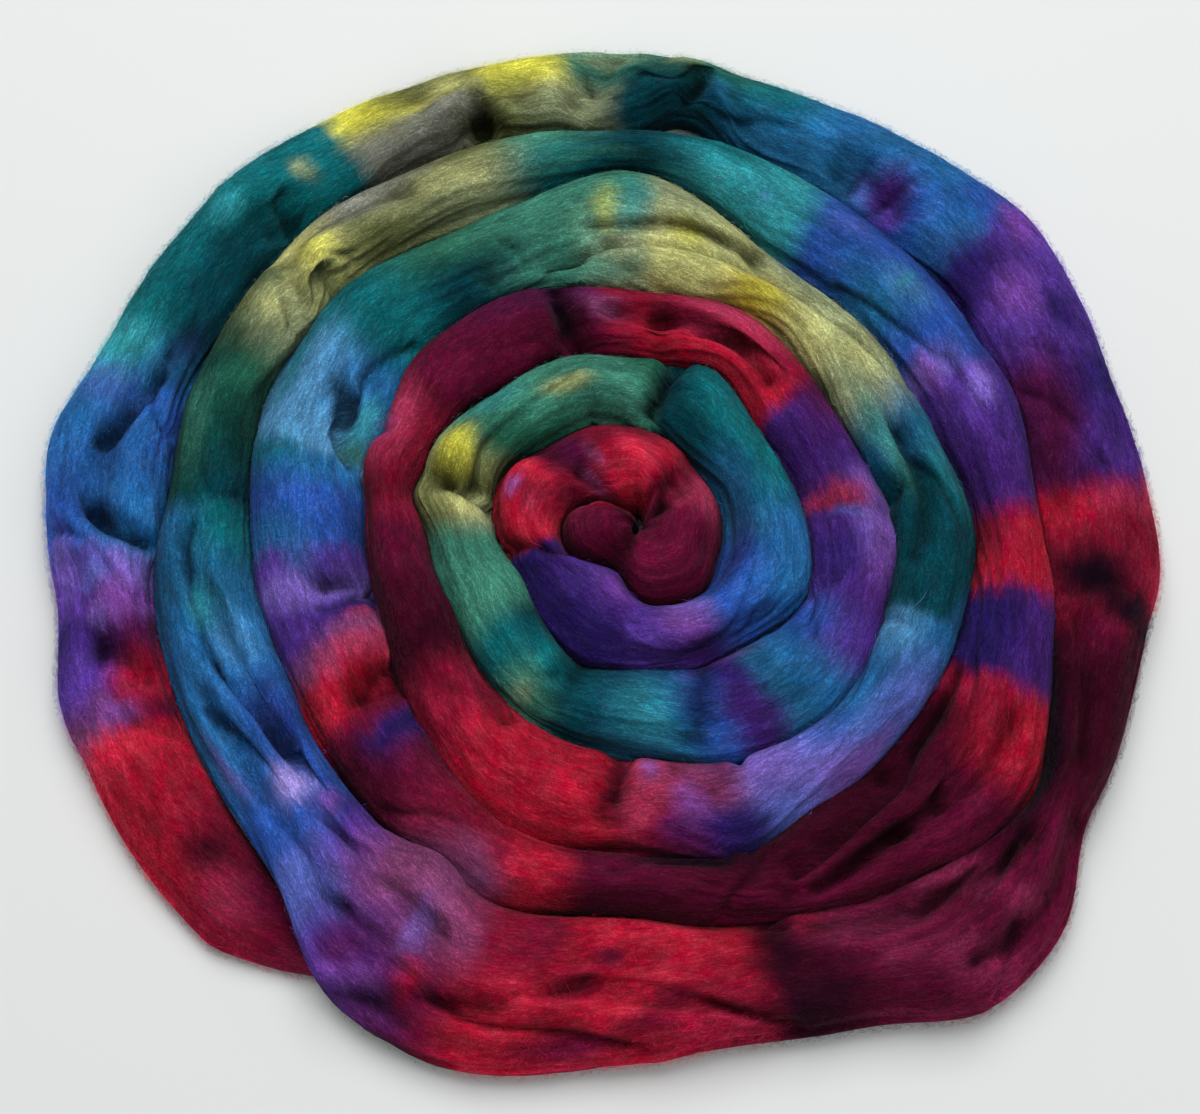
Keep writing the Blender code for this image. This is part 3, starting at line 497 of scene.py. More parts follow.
# Painted light: loose fibres are drawn this much lighter than the dye
LOOSE_PAINTED_LIGHT_GAIN = 1.5
LOOSE_PAINTED_LIGHT_PALE = 0.004  # painted light: a fibre on its own lets light through, so it is drawn paler
FIBRE_DRIFT = 0.45  # how far whole locks turn aside, radians
FIBRE_BLEED = 3.0  # how far along a fibre's dye may come from
FIBRE_TONE = 0.26
LOCK_TONE = 0.17
CRIMP = 0.42  # sideways wander along a fibre
TUCK_IN = 0.15
LEAST_HEIGHT = 0.3
LEAST_COVER = 0.04  # share of fibres on the underside
SIDE_COVER = 0.45  # and on the steep sides
LOOSE_SIDE_COVER = 1.8
UNDER_FACING = (-0.6, -0.3)
TOP_FACING = (-0.1, 0.35)

# ---- floor, light and camera
FLOOR_COLOUR = (0.635, 0.65, 0.645, 1.0)
FLOOR_HALF = 3.0
FLOOR_HEIGHT = -0.0003
FLOOR_ROUGHNESS = 0.6
SKY_COLOUR = (0.98, 0.99, 1.0, 1.0)
SKY_STRENGTH = 0.25
LAMPS = (
    # name, place, power, size
    ("window", (-0.1, 1.5, 2.9), 108.0, 2.6),
    ("fill", (1.4, -1.2, 2.8), 36.0, 3.0),
)
SENSOR = 36.0
PICTURE_WIDTH = 1200
FOCAL_PIXELS = 2446.8
CAMERA_TARGET = (0.00078, -0.01566, 0.020)
CAMERA_DISTANCE = 1.150
CAMERA_ELEVATION = 71.0


def smooth(value, low, high):
    """0 at low, 1 at high, held beyond them, with a soft ramp between."""
    share = np.clip((value - low) / (high - low), 0.0, 1.0)
    return share * share * (3.0 - 2.0 * share)


def mix(low, high, share):
    """low at share 0, high at share 1 and a straight line between."""
    return low * (1.0 - share) + high * share


def unit(vectors):
    """The same directions, each 1 long."""
    return vectors / (np.linalg.norm(vectors, axis=-1, keepdims=True) + TINY)


def between(grid, row, column, along, about):
    """Values a share along and about from a point of a grid to the next ones."""
    after, beside = (row + 1) % grid.shape[0], (column + 1) % grid.shape[1]
    row, column = row % grid.shape[0], column % grid.shape[1]
    low = mix(grid[row, column], grid[after, column], along)
    high = mix(grid[row, beside], grid[after, beside], along)
    return mix(low, high, about)


def noise(along, about, waves):
    """Soft random waves between -1 and 1 along and about the strand."""
    length, width, seed = waves
    along, about = along / length, about / width
    lattice = np.random.default_rng(seed).uniform(-1.0, 1.0, (NOISE_SIZE, NOISE_SIZE))
    row, column = np.floor(along).astype(int), np.floor(about).astype(int)
    along, about = smooth(along - row, 0.0, 1.0), smooth(about - column, 0.0, 1.0)
    return between(lattice, row, column, along, about)


def slope_about(grid):
    """How a grid changes from one place to the next round each ring."""
    return (np.roll(grid, -1, axis=1) - np.roll(grid, 1, axis=1)) / 2


def each_row(table):
    """The rows of a table, with the step at which their turn starts in front."""
    for row in table:
        if isinstance(row, int):
            start = row * DIRECTIONS
        else:
            yield (start, *row)


def creases():
    """Half width, depth and places, as step and share, of each finer crease."""
    for start, half_width, depth, *places in each_row(CREASES):
        pairs = zip(places[::2], places[1::2])
        yield half_width, depth, [(start + step, share / 100) for step, share in pairs]


def tail_value(step, column):
    """A column of the table of the outer end, read at each step."""
    return np.interp(step, TAIL[:, 0], TAIL[:, column])


def pushed(value, step, table):
    """A value at each step, pushed softly at the places of a table."""
    for start, place, spread, push in each_row(table):
        value = value + push * np.exp(-(((step - start - place) / spread) ** 2))
    return value


def groove(step):
    """Radius of the groove at each step, a smooth curve through the directions."""
    radii = np.array([radius for turn in GROOVES for radius in turn], dtype=float)
    last = len(radii) - 1
    step = np.clip(step, 0.0, last)
    here = np.minimum(step.astype(int), last - 1)
    part = step - here
    start, end = radii[here], radii[here + 1]
    rise_in = (end - radii[np.maximum(here - 1, 0)]) / 2
    rise_out = (radii[np.minimum(here + 2, last)] - start) / 2
    radius = (
        (2 * part**3 - 3 * part**2 + 1) * start
        + (part**3 - 2 * part**2 + part) * rise_in
        + (3 * part**2 - 2 * part**3) * end
        + (part**3 - part**2) * rise_out
    )
    return pushed(radius, step, WANDERS)


def strand(step):
    """Inner radius, outer radius and crown height of the strand at each step."""
    centre = 1.0 - smooth(step, *CENTRE_STEPS)
    gap = GAP + CENTRE_GAP * centre
    tuck = pushed(np.zeros_like(step), step, TUCKS)
    inner = groove(step - DIRECTIONS) + gap / 2 + tuck
    outer = groove(step) - gap / 2
    share = np.zeros_like(step)
    for nearby in (-WIDTH_STEPS, 0.0, WIDTH_STEPS):
        wide = groove(step + nearby) - groove(step + nearby - DIRECTIONS)
        share += (ORDINARY_WIDTH / np.maximum(wide, LEAST_WIDTH)) ** CROWN_SHARE / 3.0
    crown = np.clip(CROWN * share, *CROWN_RANGE) + CENTRE_RISE * centre
    crown = np.minimum(crown, TIP_BASE + (outer - inner + tuck))
    tail = step > TAIL[0, 0]
    inner = np.where(tail, tail_value(step, 1), inner)
    outer = np.where(tail, tail_value(step, 2), outer)
    crown = np.where(tail, tail_value(step, 3), crown)
    tip = smooth(step, FIRST_STEP - TIP_LEAD, FIRST_STEP + TIP_STEPS)
    crown *= TIP_SHARE + (1.0 - TIP_SHARE) * tip
    return inner, outer, crown


def bridge(step, radius):
    """Height of the underside where the outermost turn passes over the end."""
    rise = smooth(step, *BRIDGE_RAMP_UP) * (1.0 - smooth(step, *BRIDGE_RAMP_DOWN))
    below = np.minimum(step + DIRECTIONS, LAST_STEP)
    edge = tail_value(below, 2) + BRIDGE_CLEARANCE
    return BRIDGE_RISE * rise * (1.0 - smooth(radius, edge, edge + BRIDGE_EDGE))


def distance(grids, start, end):
    """Distance in mm from each place on the strand to a line on its surface."""
    step, across, width, run = grids
    (step_a, across_a), (step_b, across_b) = start, end
    ax, ay = (step - step_a) * run, (across - across_a) * width
    bx, by = (step_b - step_a) * run, (across_b - across_a) * width
    length = np.maximum(bx * bx + by * by, TINY)
    part = np.clip((ax * bx + ay * by) / length, 0.0, 1.0)
    return np.hypot(ax - part * bx, ay - part * by)


def rings_near(grids, points, reach):
    """The rings within reach of a line of points, and the grids cut to them."""
    step, places = grids[0][:, 0], [point[0] for point in points]
    rows = np.flatnonzero((step > min(places) - reach) & (step < max(places) + reach))
    return rows, [grid[rows] for grid in grids]


def fold_lift(grids):
    """What the lobes and creases of the solid add to the height of the top."""
    lift = np.zeros(grids[1].shape)
    for first, step_a, across_a, step_b, across_b, half_width, most in each_row(FOLDS):
        line = ((first + step_a, across_a / 100), (first + step_b, across_b / 100))
        rows, near = rings_near(grids, line, FOLD_REACH)
        lift[rows] += most * np.exp(-((distance(near, *line) / half_width) ** 2))
    return lift


def crease_depth(grids):
    """How deep the finer creases cut, with the soft swell beside each."""
    depth = np.zeros(grids[1].shape)
    for half_width, most, points in creases():
        rows, near = rings_near(grids, points, CREASE_REACH)
        fade = np.ones(near[1].shape)
        for end in (points[0], points[-1]):
            if EDGE_SHARE < end[1] < 1.0 - EDGE_SHARE:
                fade *= smooth(distance(near, end, end), 0.0, CREASE_TAPER)
        lines = [distance(near, start, end) for start, end in zip(points, points[1:])]
        off = np.min(lines, axis=0)
        cut = np.exp(-((off / (CREASE_WIDTH * half_width)) ** CREASE_SHARPNESS))
        swell = np.exp(-((off / (SWELL_WIDTH * half_width)) ** 2))
        depth[rows] += CREASE_SCALE * most * fade * (cut - SWELL_SHARE * swell)
    return depth


def ring_steps():
    """Steps at which the strand has a ring, closer together in the tight turns."""
    fine = np.linspace(FIRST_STEP, LAST_STEP, RING_SAMPLES)
    inner, outer, _ = strand(fine)
    crowd = np.zeros_like(fine)
    for _, _, points in creases():
        for (start, share_a), (end, share_b) in zip(points, points[1:]):
            middle, spread = (start + end) / 2, CROSSING_SPREAD + abs(end - start) / 2
            steepness = abs(share_b - share_a) / (abs(share_b - share_a) + abs(end - start))
            near = np.exp(-(((fine - middle) / spread) ** CROSSING_EDGE))
            crowd = np.maximum(crowd, steepness * near)
    spans = np.diff(fine) * ((inner + outer)[1:] / 2 + RING_SPREAD)
    spans *= 1.0 + CROSSING_SHARE * crowd[1:]
    run = np.concatenate(([0.0], np.cumsum(spans)))
    return np.interp(np.linspace(0.0, run[-1], RINGS), run, fine)


def outline(step):
    """Radius, height and crown of the plain strand, with the grids of places on it."""
    inner, outer, crown = (side[:, None] for side in strand(step))
    width, middle, belly = outer - inner, (inner + outer) / 2, crown * BELLY_SHARE
    top = np.pi * np.arange(TOP_SPANS) / TOP_SPANS
    under = np.pi * (1.0 + np.arange(UNDER_SPANS) / UNDER_SPANS)
    angle = np.concatenate((top, under))
    above = angle < np.pi
    rounds = np.where(above, ROUNDNESS, UNDER_ROUNDNESS)
    side = np.sign(np.cos(angle)) * np.abs(np.cos(angle)) ** (2 / rounds)
    up = np.abs(np.sin(angle)) ** (2 / rounds)
    radius = middle + side * width / 2
    across = np.clip((radius - inner) / width, 0.0, 1.0)
    run = middle * 2 * np.pi / DIRECTIONS
    width, run = (np.broadcast_to(grid, radius.shape) for grid in (width, run))
    grids = (step[:, None], across, width, run)
    top_height = belly + (crown - belly) * up + fold_lift(grids) * np.sqrt(up)
    top_height = np.maximum(top_height, np.minimum(LEAST_TOP, crown * LEAST_TOP_SHARE))
    height = np.where(above, top_height, belly * (1.0 - up))
    return radius, height, crown, grids


def finished(step):
    """Radius, height and the places along, across and about of the fine mesh."""
    radius, height, crown, grids = outline(step)
    _, across, _, run = grids
    along = np.concatenate(([0.0], np.cumsum(np.diff(step) * run[1:, 0])))[:, None]
    edge = np.hypot(np.diff(radius, axis=1), np.diff(height, axis=1))
    about = np.concatenate((np.zeros((len(step), 1)), np.cumsum(edge, axis=1)), axis=1)
    about = blurred(about, LAY_RINGS, 0)
    across_run, up_run = slope_about(radius), slope_about(height)
    long = np.hypot(across_run, up_run) + TINY
    out_radius, out_height = up_run / long, -across_run / long
    astray = about + LOCK_WANDER * noise(along, about, WANDER_WAVES)
    push = LUMP_DEPTH * noise(along, about, LUMP_WAVES)
    push += LOCK_DEPTH * (1.0 - 2.0 * np.abs(noise(along, astray, LOCK_WAVES)))
    push += WISP_DEPTH * noise(along, astray, WISP_WAVES)
    push -= crease_depth(grids)
    push *= smooth(height, *FLOOR_FADE)
    deepest = SIDE_DEPTH + SIDE_SLOPE * np.maximum(out_height, 0.0)
    push = np.maximum(push, -np.minimum(DEEPEST_SHARE * height, deepest))
    radius, height = radius + out_radius * push, height + out_height * push
    height = np.maximum(height, 0.0)
    floor = bridge(step[:, None], radius)
    height = floor + height * (1.0 - floor * (1.0 - BRIDGE_TOP_SHARE) / crown)
    return radius, height, across, np.broadcast_to(along, radius.shape), about


def blurred(grid, rings, places):
    """The mean of a grid over a box of rings and of places round them."""
    total = np.zeros_like(grid)
    last = len(grid) - 1
    for ring in range(-rings, rings + 1):
        rows = np.clip(np.arange(last + 1) + ring, 0, last)
        for place in range(-places, places + 1):
            total += np.roll(grid[rows], place, axis=1)
    return total / ((2 * rings + 1) * (2 * places + 1))


def painted_hollow_shade_and_ridge_light(height):
    """Painted shade in the creases and grooves, and painted light on the ridges."""
    hollow = blurred(height, *HOLLOW_BOX) - height
    return np.interp(hollow, HOLLOW_RANGE, HOLLOW_PAINTED_LIGHT_AND_SHADE)


def open_side(step, across):
    """1 on the outer side of the outermost turn, which no other turn shades."""
    return (step > LAST_STEP - DIRECTIONS) * smooth(across, *OPEN_SHARES)


def linear(colour):
    """A display colour, 0 to 255, as the deeper colour of a single fibre."""
    share = np.array(colour) / 255.0
    light = np.where(share <= 0.04045, share / 12.92, ((share + 0.055) / 1.055) ** 2.4)
    return DYE_GAIN * light**DYE_DEPTH


def dye(step, across, along, about):
    """Colour of the fibre at each place, with streaked and mottled borders."""
    run = 2 * np.pi / DIRECTIONS * groove(step) + RUN_LEAD
    streak = STREAK * noise(along, about, DYE_STREAKS)
    step = step + (streak + BLOT * noise(along, about, DYE_BLOTS)) / run
    across = np.clip(across + EDGE_WANDER * noise(along, about, DYE_EDGES), 0.0, 1.0)
    bands = list(each_row(BANDS))
    places = np.array([start + place for start, place, *_ in bands])
    after = np.clip(np.searchsorted(places, step), 1, len(places) - 1)
    part = smooth(step, places[after - 1], places[after])[..., None]
    inner = np.array([linear(band[2]) for band in bands])
    outer = np.array([linear(band[-1]) for band in bands])
    inner = mix(inner[after - 1], inner[after], part)
    outer = mix(outer[after - 1], outer[after], part)
    colour = mix(inner, outer, smooth(across, *SIDE_RANGE)[..., None])
    for start, place, share, half_steps, half_across, pigment, strength in each_row(PATCHES):
        off = ((step - start - place) / (half_steps / 100)) ** 2
        off = off + ((across - share / 100) / (half_across / 100)) ** 2
        cover = (strength / 100 * np.exp(-(off**PATCH_EDGE)))[..., None]
        colour = mix(colour, linear(pigment), cover)
    cloud = noise(along, about, CLOUDS) + SMALL_CLOUD_SHARE * noise(along, about, SMALL_CLOUDS)
    return colour * np.exp(CLOUD * cloud)[..., None]


def new_mesh(name, points, faces):
    """A mesh made quickly from arrays; every face has as many corners as a row."""
    mesh = bpy.data.meshes.new(name)
    corners = faces.shape[1]
    mesh.vertices.add(len(points))
    mesh.loops.add(faces.size)
    mesh.polygons.add(len(faces))
    mesh.vertices.foreach_set("co", points.astype(np.float32).ravel())
    mesh.loops.foreach_set("vertex_index", faces.astype(np.int32).ravel())
    mesh.polygons.foreach_set("loop_start", np.arange(0, faces.size, corners, dtype=np.int32))
    mesh.update(calc_edges=True)
    mesh.polygons.foreach_set("use_smooth", np.ones(len(faces), dtype=bool))
    return mesh


def paint(mesh, colours, lay):
    """Stores the colour, the dye with its painted light and shade, and the place along and about
    the strand at each vertex.
    """
    shade = mesh.color_attributes.new("dye", "FLOAT_COLOR", "POINT")
    rows = np.concatenate((colours, np.ones((len(colours), 1))), axis=1)
    shade.data.foreach_set("color", rows.astype(np.float32).ravel())
    places = mesh.attributes.new("lay", "FLOAT_VECTOR", "POINT")
    places.data.foreach_set("vector", lay.astype(np.float32).ravel())


def into_world(step, radius, height):
    """Points in the frame, in mm, from steps, radii and heights."""
    heading = np.pi / 2 + step * 2 * np.pi / DIRECTIONS
    x = CENTRE[0] + radius * np.cos(heading)
    y = CENTRE[1] + radius * np.sin(heading)
    return np.stack((x, y, height), axis=-1)


def look_up(grid, ring, place):
    """Values between the points of a grid of rings; places go round."""
    ring = np.clip(ring, 0.0, grid.shape[0] - END_GAP)
    row, column = ring.astype(int), np.floor(place).astype(int)
    along, about = (ring - row)[..., None], (place - column)[..., None]
    return between(grid, row, column, along, about)


def tapered(paths, side, normal, half_width):
    """Three-sided fibres with pointed ends along rows of points."""
    count, points, _ = paths.shape
    inside = points - 2
    corners = []
    for corner in range(3):
        angle = 2 * np.pi * corner / 3
        reach = side * np.cos(angle) + normal * np.sin(angle)
        corners.append(paths[:, 1:-1] + reach[:, 1:-1] * half_width[:, None, None])
    body = np.stack(corners, axis=2).reshape(count, inside * 3, 3)
    vertices = np.concatenate((paths[:, :1], body, paths[:, -1:]), axis=1)
    per_fibre = inside * 3 + 2
    last = per_fibre - 4
    faces = []
    for here, beside in ((0, 1), (1, 2), (2, 0)):
        faces += [(0, 1 + beside, 1 + here), (per_fibre - 1, last + here, last + beside)]
        for low in range(1, last, 3):
            high = low + 3
            faces.append((low + here, low + beside, high + beside))
            faces.append((low + here, high + beside, high + here))
    every = np.array(faces)[None] + per_fibre * np.arange(count)[:, None, None]
    return vertices.reshape(-1, 3), every.reshape(-1, 3), per_fibre


def feed(tree, node, inputs):
    """Sets inputs of a node, or links them to the outputs that are given."""
    for name, value in inputs.items():
        if isinstance(value, bpy.types.NodeSocket):
            tree.links.new(value, node.inputs[name])
        else:
            node.inputs[name].default_value = value


def add_node(tree, kind, inputs, **settings):
    """A new shader node with its settings made and its inputs fed."""
    node = tree.nodes.new("ShaderNode" + kind)
    for name, value in settings.items():
        setattr(node, name, value)
    feed(tree, node, inputs)
    return node


def ramp(tree, source, reach, result):
    """A node that maps one range of values to another, held at its ends."""
    (low, high), (bottom, top) = reach, result
    inputs = {"Value": source, "From Min": low, "From Max": high, "To Min": bottom, "To Max": top}
    return add_node(tree, "MapRange", inputs).outputs["Result"]


def texture(tree, place, waves):
    """Noise stretched along the strand."""
    length, width, kind, detail, distortion = waves
    stretch = (1.0 / length, 1.0 / width, 0.0)
    mapping = add_node(tree, "Mapping", {"Vector": place, "Scale": stretch})
    inputs = {"Vector": mapping.outputs["Vector"], "Scale": 1.0, "Detail": detail}
    inputs |= {"Roughness": DETAIL_ROUGHNESS, "Distortion": distortion}
    if kind == RIDGED:
        inputs |= {"Offset": 1.0, "Gain": 1.0}
    return add_node(tree, "TexNoise", inputs, noise_type=kind).outputs["Fac"]


def wool_material(name, curl_height, sheen):
    """Matte combed wool: the dye with its painted light and shade, broken up by curled fibres,
    with a soft sheen.
    """
    material = bpy.data.materials.new(name)
    material.use_nodes = True
    tree = material.node_tree
    shade = add_node(tree, "Attribute", {}, attribute_name="dye").outputs["Color"]
    lay = add_node(tree, "Attribute", {}, attribute_name="lay").outputs["Vector"]
    curls, streaks, mottle = (texture(tree, lay, waves) for waves in (CURLS, STREAKS, MOTTLE))
    curl_light = ramp(tree, curls, RIDGE_RANGE, CURL_LIGHTNESS)
    streak_light = ramp(tree, streaks, RIDGE_RANGE, STREAK_LIGHTNESS)
    lightness = add_node(tree, "Math", {0: curl_light, 1: streak_light}, operation="MULTIPLY")
    saturation = ramp(tree, mottle, MOTTLE_RANGE, MOTTLE_SATURATION)
    inputs = {"Color": shade, "Value": lightness.outputs["Value"], "Saturation": saturation}
    tone = add_node(tree, "HueSaturation", inputs)
    height = ramp(tree, curls, RIDGE_RANGE, (0.0, 1.0))
    inputs = {"Strength": RELIEF, "Distance": curl_height * MM, "Height": height}
    relief = add_node(tree, "Bump", inputs)
    feed(tree, tree.nodes["Principled BSDF"], {
        "Base Color": tone.outputs["Color"],
        "Roughness": ramp(tree, mottle, (0.0, 1.0), ROUGHNESS),
        "Normal": relief.outputs["Normal"],
        "Metallic": 0.0,
        "Specular IOR Level": SPECULAR,
        "Sheen Weight": sheen,
        "Sheen Roughness": SHEEN_ROUGHNESS,
    })
    return material


def show(name, data):
    """A new object in the scene."""
    shown = bpy.data.objects.new(name, data)
    bpy.context.scene.collection.objects.link(shown)
    return shown


def add_piece(name, mesh, material):
    """Puts a finished mesh in the scene as a piece of the one body."""
    mesh.materials.append(material)
    piece = show(name, mesh)
    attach(piece, "root")
    return piece


def strand_mesh(points, along, about):
    """The closed mesh of the strand and the flat map its texture is kept on."""
    cells = np.stack(np.indices((RINGS - 1, AROUND)), axis=-1).reshape(-1, 1, 2)
    halves = (((0, 0), (1, 0), (1, 1)), ((0, 0), (1, 1), (0, 1)))
    corners = np.concatenate([cells + half for half in halves])
    faces = corners[..., 0] * AROUND + corners[..., 1] % AROUND
    tips = [points[0].mean(axis=0), points[-1].mean(axis=0)]
    every = np.concatenate((points.reshape(-1, 3), tips))
    here = np.arange(AROUND)
    after, last = (here + 1) % AROUND, (RINGS - 1) * AROUND
    tip = np.full(AROUND, RINGS * AROUND)
    cap_in = np.stack((tip, here, after), axis=1)
    cap_out = np.stack((tip + 1, last + after, last + here), axis=1)
    mesh = new_mesh("coil_strand", every * MM, np.concatenate((faces, cap_in, cap_out)))
    # The map is cut into rows of rings, and the caps share a spare corner of it
    a_row = math.ceil((RINGS - 1) / MAP_ROWS)
    row = corners[:, :1, 0] // a_row
    row_start = along[:, 0][np.minimum(row * a_row, RINGS - 1)]
    row_length = np.diff(along[::a_row, 0], append=along[-1, 0]).max() * MAP_SLACK
    girth = np.concatenate((about, about[:, -1:] + about[:, -1:] - about[:, -2:-1]), axis=1)
    right = (along[:, 0][corners[..., 0]] - row_start) / row_length
    share = girth[corners[..., 0], corners[..., 1]] / girth.max()
    up = (row + MAP_MARGIN + (1.0 - 3 * MAP_MARGIN) * share) / MAP_ROWS
    flat = np.stack((right, up), axis=-1).reshape(-1, 2)
    corner = np.tile(((0.0, 0.0), (0.5, 0.0), (0.0, 0.5)), (2 * AROUND, 1))
    spare = (1.0 - MAP_MARGIN / MAP_ROWS) + corner * MAP_MARGIN / MAP_ROWS
    layer = mesh.uv_layers.new(name="OFBake")
    layer.data.foreach_set("uv", np.concatenate((flat, spare)).astype(np.float32).ravel())
    return mesh


def surface_facts(points):
    """Outward directions and spacings of a grid of rings."""
    ahead = np.gradient(points, axis=0)
    beside = slope_about(points)
    outward = unit(np.cross(ahead, beside))
    return outward, np.linalg.norm(ahead, axis=-1), np.linalg.norm(beside, axis=-1)


def fibre_mesh(name, grids, seed, count, laid, lengths, widths, lifts, fan, bends, bow_share):
    """A joined mesh of fibres that start at random places on the strand."""
    points, outward, spacing, girth_spacing, step, across, along, about, depth = grids
    chance = np.random.default_rng(seed)
    facing = outward[..., 2]
    side_cover = SIDE_COVER if laid else LOOSE_SIDE_COVER
    wanted = LEAST_COVER + (side_cover - LEAST_COVER) * smooth(facing, *UNDER_FACING)
    wanted += (1.0 - side_cover) * smooth(facing, *TOP_FACING)
    if not laid:
        wanted *= 1.0 + OPEN_COVER * open_side(step, across)
    weight = np.cumsum((wanted * spacing * girth_spacing)[:-1].ravel())
    cell = np.searchsorted(weight, chance.uniform(0.0, weight[-1], count))
    ring = cell // AROUND + chance.uniform(0.0, 1.0, count)
    place = cell % AROUND + chance.uniform(0.0, 1.0, count)
    row = ring.astype(int)
    at = (row, place.astype(int) % AROUND)
    along, about, across = along[at], about[at], across[at]
    length = chance.uniform(*lengths, count)
    drift = FIBRE_DRIFT * noise(along, about, DRIFT_WAVES)
    heading = drift + chance.normal(0.0, fan, count)
    if not laid:
        heading += np.pi * chance.integers(0, 2, count)
    share = np.linspace(-0.5, 0.5, bends)[None]
    arch = 1.0 - (2.0 * share) ** 2
    bow = chance.normal(0.0, bow_share, count)[:, None] * length[:, None]
    bow = bow * arch + chance.normal(0.0, CRIMP, (count, bends))
    forth = share * (length * np.cos(heading))[:, None] - bow * np.sin(heading)[:, None]
    aside = share * (length * np.sin(heading))[:, None] + bow * np.cos(heading)[:, None]
    rings = ring[:, None] + forth / spacing[at][:, None]
    places = place[:, None] + aside / girth_spacing[at][:, None]
    lift = chance.uniform(*lifts, count)[:, None]
    opened = open_side(step[row, 0], across)
    if laid:
        rise = lift * arch - TUCK_IN
    else:
        lift = lift * (1.0 + OPEN_LIFT * opened[:, None])
        reach = chance.uniform(*LOOSE_REACH, count)[:, None] * (share + 0.5)
        rise = lift * np.sin(np.pi * reach) - TUCK_IN
    normal = unit(look_up(outward, rings, places))
    paths = look_up(points, rings, places) + normal * rise[..., None]
    paths[..., 2] = np.maximum(paths[..., 2], LEAST_HEIGHT)
    side = unit(np.cross(np.gradient(paths, axis=1), normal))
    half_width = chance.uniform(*widths, count) / 2
    vertices, faces, each = tapered(paths, side, normal, half_width)
    vertices[:, 2] = np.maximum(vertices[:, 2], 0.0)
    bleed = chance.normal(0.0, FIBRE_BLEED, count) / spacing[at]
    bleed = bleed * (step[row + 1, 0] - step[row, 0])
    colour = dye(step[row, 0] + bleed, across, along, about)
    # Painted light and shade of the strand where the fibre starts, with a random tone of the fibre
    # and of its lock
    tone = depth[at] * np.exp(chance.normal(0.0, FIBRE_TONE, count))
    tone *= 1.0 + LOCK_TONE * noise(along, about, TONE_WAVES)
    # Painted light: loose fibres are drawn lighter, and more so on the open outer side
    if not laid:
        colour = LOOSE_PAINTED_LIGHT_GAIN * (1.0 + OPEN_FIBRE_PAINTED_LIGHT * opened)[:, None] * colour + LOOSE_PAINTED_LIGHT_PALE
    colour = np.clip(colour * tone[:, None], 0.0, 1.0)
    mesh = new_mesh(name, vertices * MM, faces)
    lay = np.stack((along, about, np.zeros(count)), axis=1)
    paint(mesh, np.repeat(colour, each, axis=0), np.repeat(lay, each, axis=0))
    return mesh


def with_tips(grid):
    """The values of a grid in one list, with those of the two end points after them."""
    rows = grid.reshape(-1, 3)
    return np.concatenate((rows, rows[:1], rows[-1:]))


ring_places = ring_steps()
radii, heights, shares, runs, girths = finished(ring_places)
ring_grid = ring_places[:, None]
surface = into_world(ring_grid, radii, heights)

wool = wool_material("dyed_wool", *STRAND_LOOK)
strand_data = strand_mesh(surface, runs, girths)
every_step = np.broadcast_to(ring_grid, shares.shape)
facts = surface_facts(surface)
facing = facts[0][..., 2]
opened = open_side(every_step, shares)
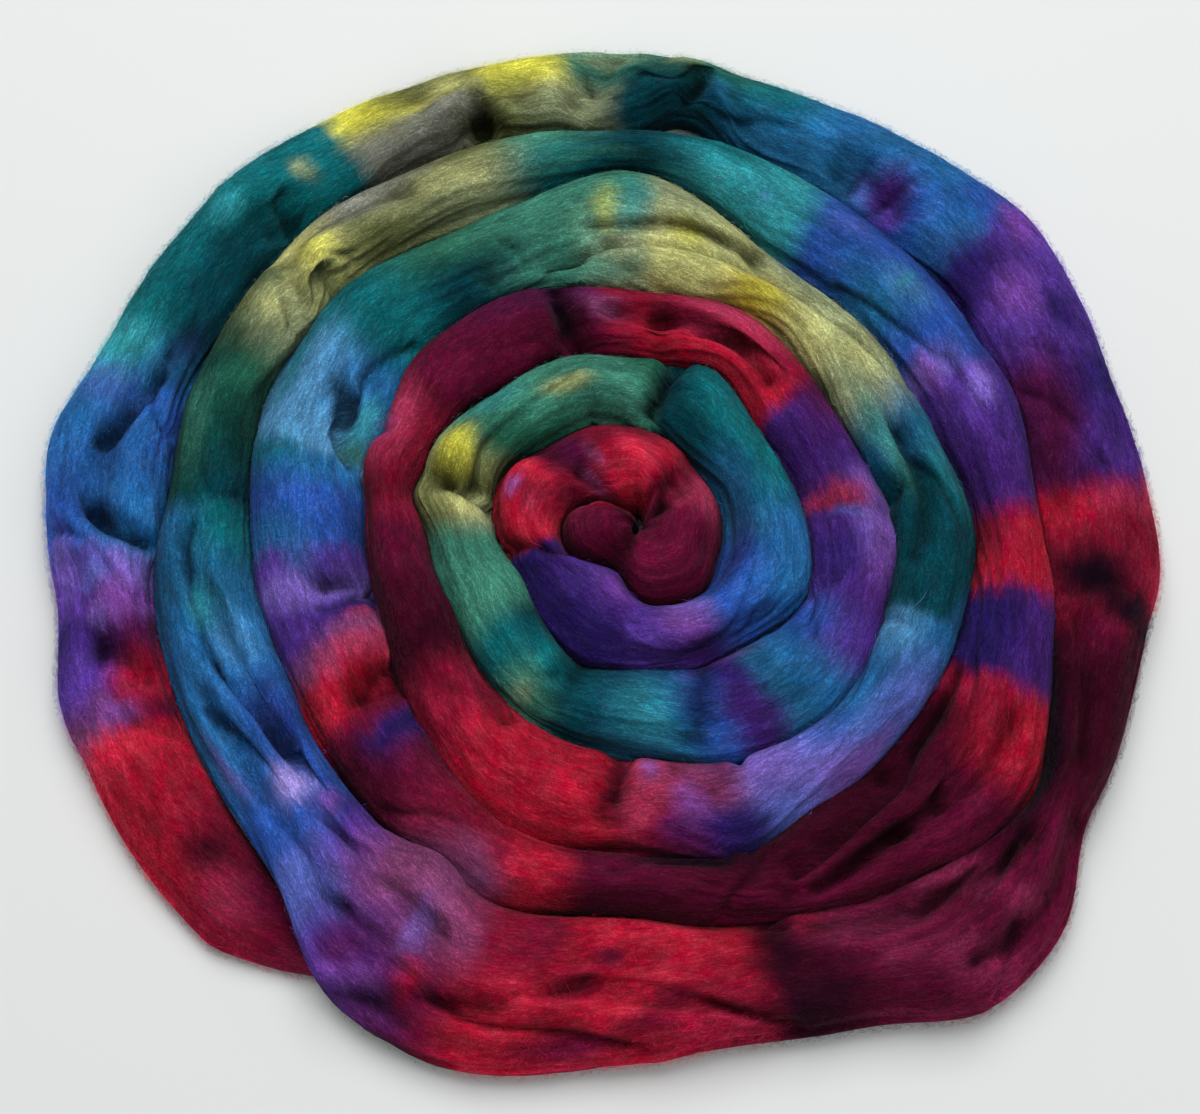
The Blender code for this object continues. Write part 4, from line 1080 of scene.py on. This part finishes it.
# Painted shade in the hollows and on the steep sides deep between the turns, and painted light on
# the ridges and the open outer side; the strand under its fibres is drawn darker still as painted
# shade
steep = smooth(facing, *STEEP_TOP) * smooth(facing, *STEEP_UNDER)
painted_light_and_shade = painted_hollow_shade_and_ridge_light(heights) * (1.0 + OPEN_PAINTED_LIGHT * opened * smooth(facing, *OPEN_FACING))
painted_light_and_shade *= 1.0 - GROOVE_SHADE * steep * (1.0 - opened)
strand_dye_with_painted_shade_and_light = dye(every_step, shares, runs, girths) * painted_light_and_shade[..., None]
strand_lay = np.stack((runs, girths, np.zeros_like(runs)), axis=-1)
paint(strand_data, with_tips(strand_dye_with_painted_shade_and_light) * STRAND_PAINTED_SHADE, with_tips(strand_lay))
coil = add_piece("coil_strand", strand_data, wool)
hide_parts("roving_coil")

all_grids = (surface, *facts, ring_grid, shares, runs, girths, painted_light_and_shade)
fibre_wool = wool_material("fibre_wool", *FIBRE_LOOK)
for sort, pieces, seed, *kind in FIBRES:
    for number in range(1, pieces + 1):
        name = f"{sort}_{number}"
        add_piece(name, fibre_mesh(name, all_grids, seed + number, *kind), fibre_wool)

corners = [(x * FLOOR_HALF, y * FLOOR_HALF) for x, y in ((-1, -1), (1, -1), (1, 1), (-1, 1))]
floor_data = bpy.data.meshes.new("floor")
floor_data.from_pydata([(x, y, FLOOR_HEIGHT) for x, y in corners], [], [(0, 1, 2, 3)])
floor_paint = bpy.data.materials.new("floor_paint")
floor_paint.use_nodes = True
floor_tree = floor_paint.node_tree
floor_looks = {"Base Color": FLOOR_COLOUR, "Roughness": FLOOR_ROUGHNESS}
feed(floor_tree, floor_tree.nodes["Principled BSDF"], floor_looks)
floor_data.materials.append(floor_paint)
floor = show("floor", floor_data)

sky = bpy.data.worlds.new("sky")
sky.use_nodes = True
sky_looks = {"Color": SKY_COLOUR, "Strength": SKY_STRENGTH}
feed(sky.node_tree, sky.node_tree.nodes["Background"], sky_looks)
bpy.context.scene.world = sky
bpy.context.scene.view_settings.view_transform = "Standard"

for lamp_name, spot, power, size in LAMPS:
    lamp_data = bpy.data.lights.new(lamp_name, "AREA")
    lamp_data.energy = power
    lamp_data.size = size
    lamp = show(lamp_name, lamp_data)
    lamp.location = spot
    lamp.rotation_euler = (-Vector(spot)).to_track_quat("-Z", "Y").to_euler()

lens = bpy.data.cameras.new("camera")
lens.sensor_width = SENSOR
lens.lens = SENSOR * FOCAL_PIXELS / PICTURE_WIDTH
camera = show("camera", lens)
tilt = math.radians(CAMERA_ELEVATION)
back = Vector((0.0, -math.cos(tilt), math.sin(tilt)))
camera.location = Vector(CAMERA_TARGET) + CAMERA_DISTANCE * back
camera.rotation_euler = (math.pi / 2 - tilt, 0.0, 0.0)
bpy.context.scene.camera = camera
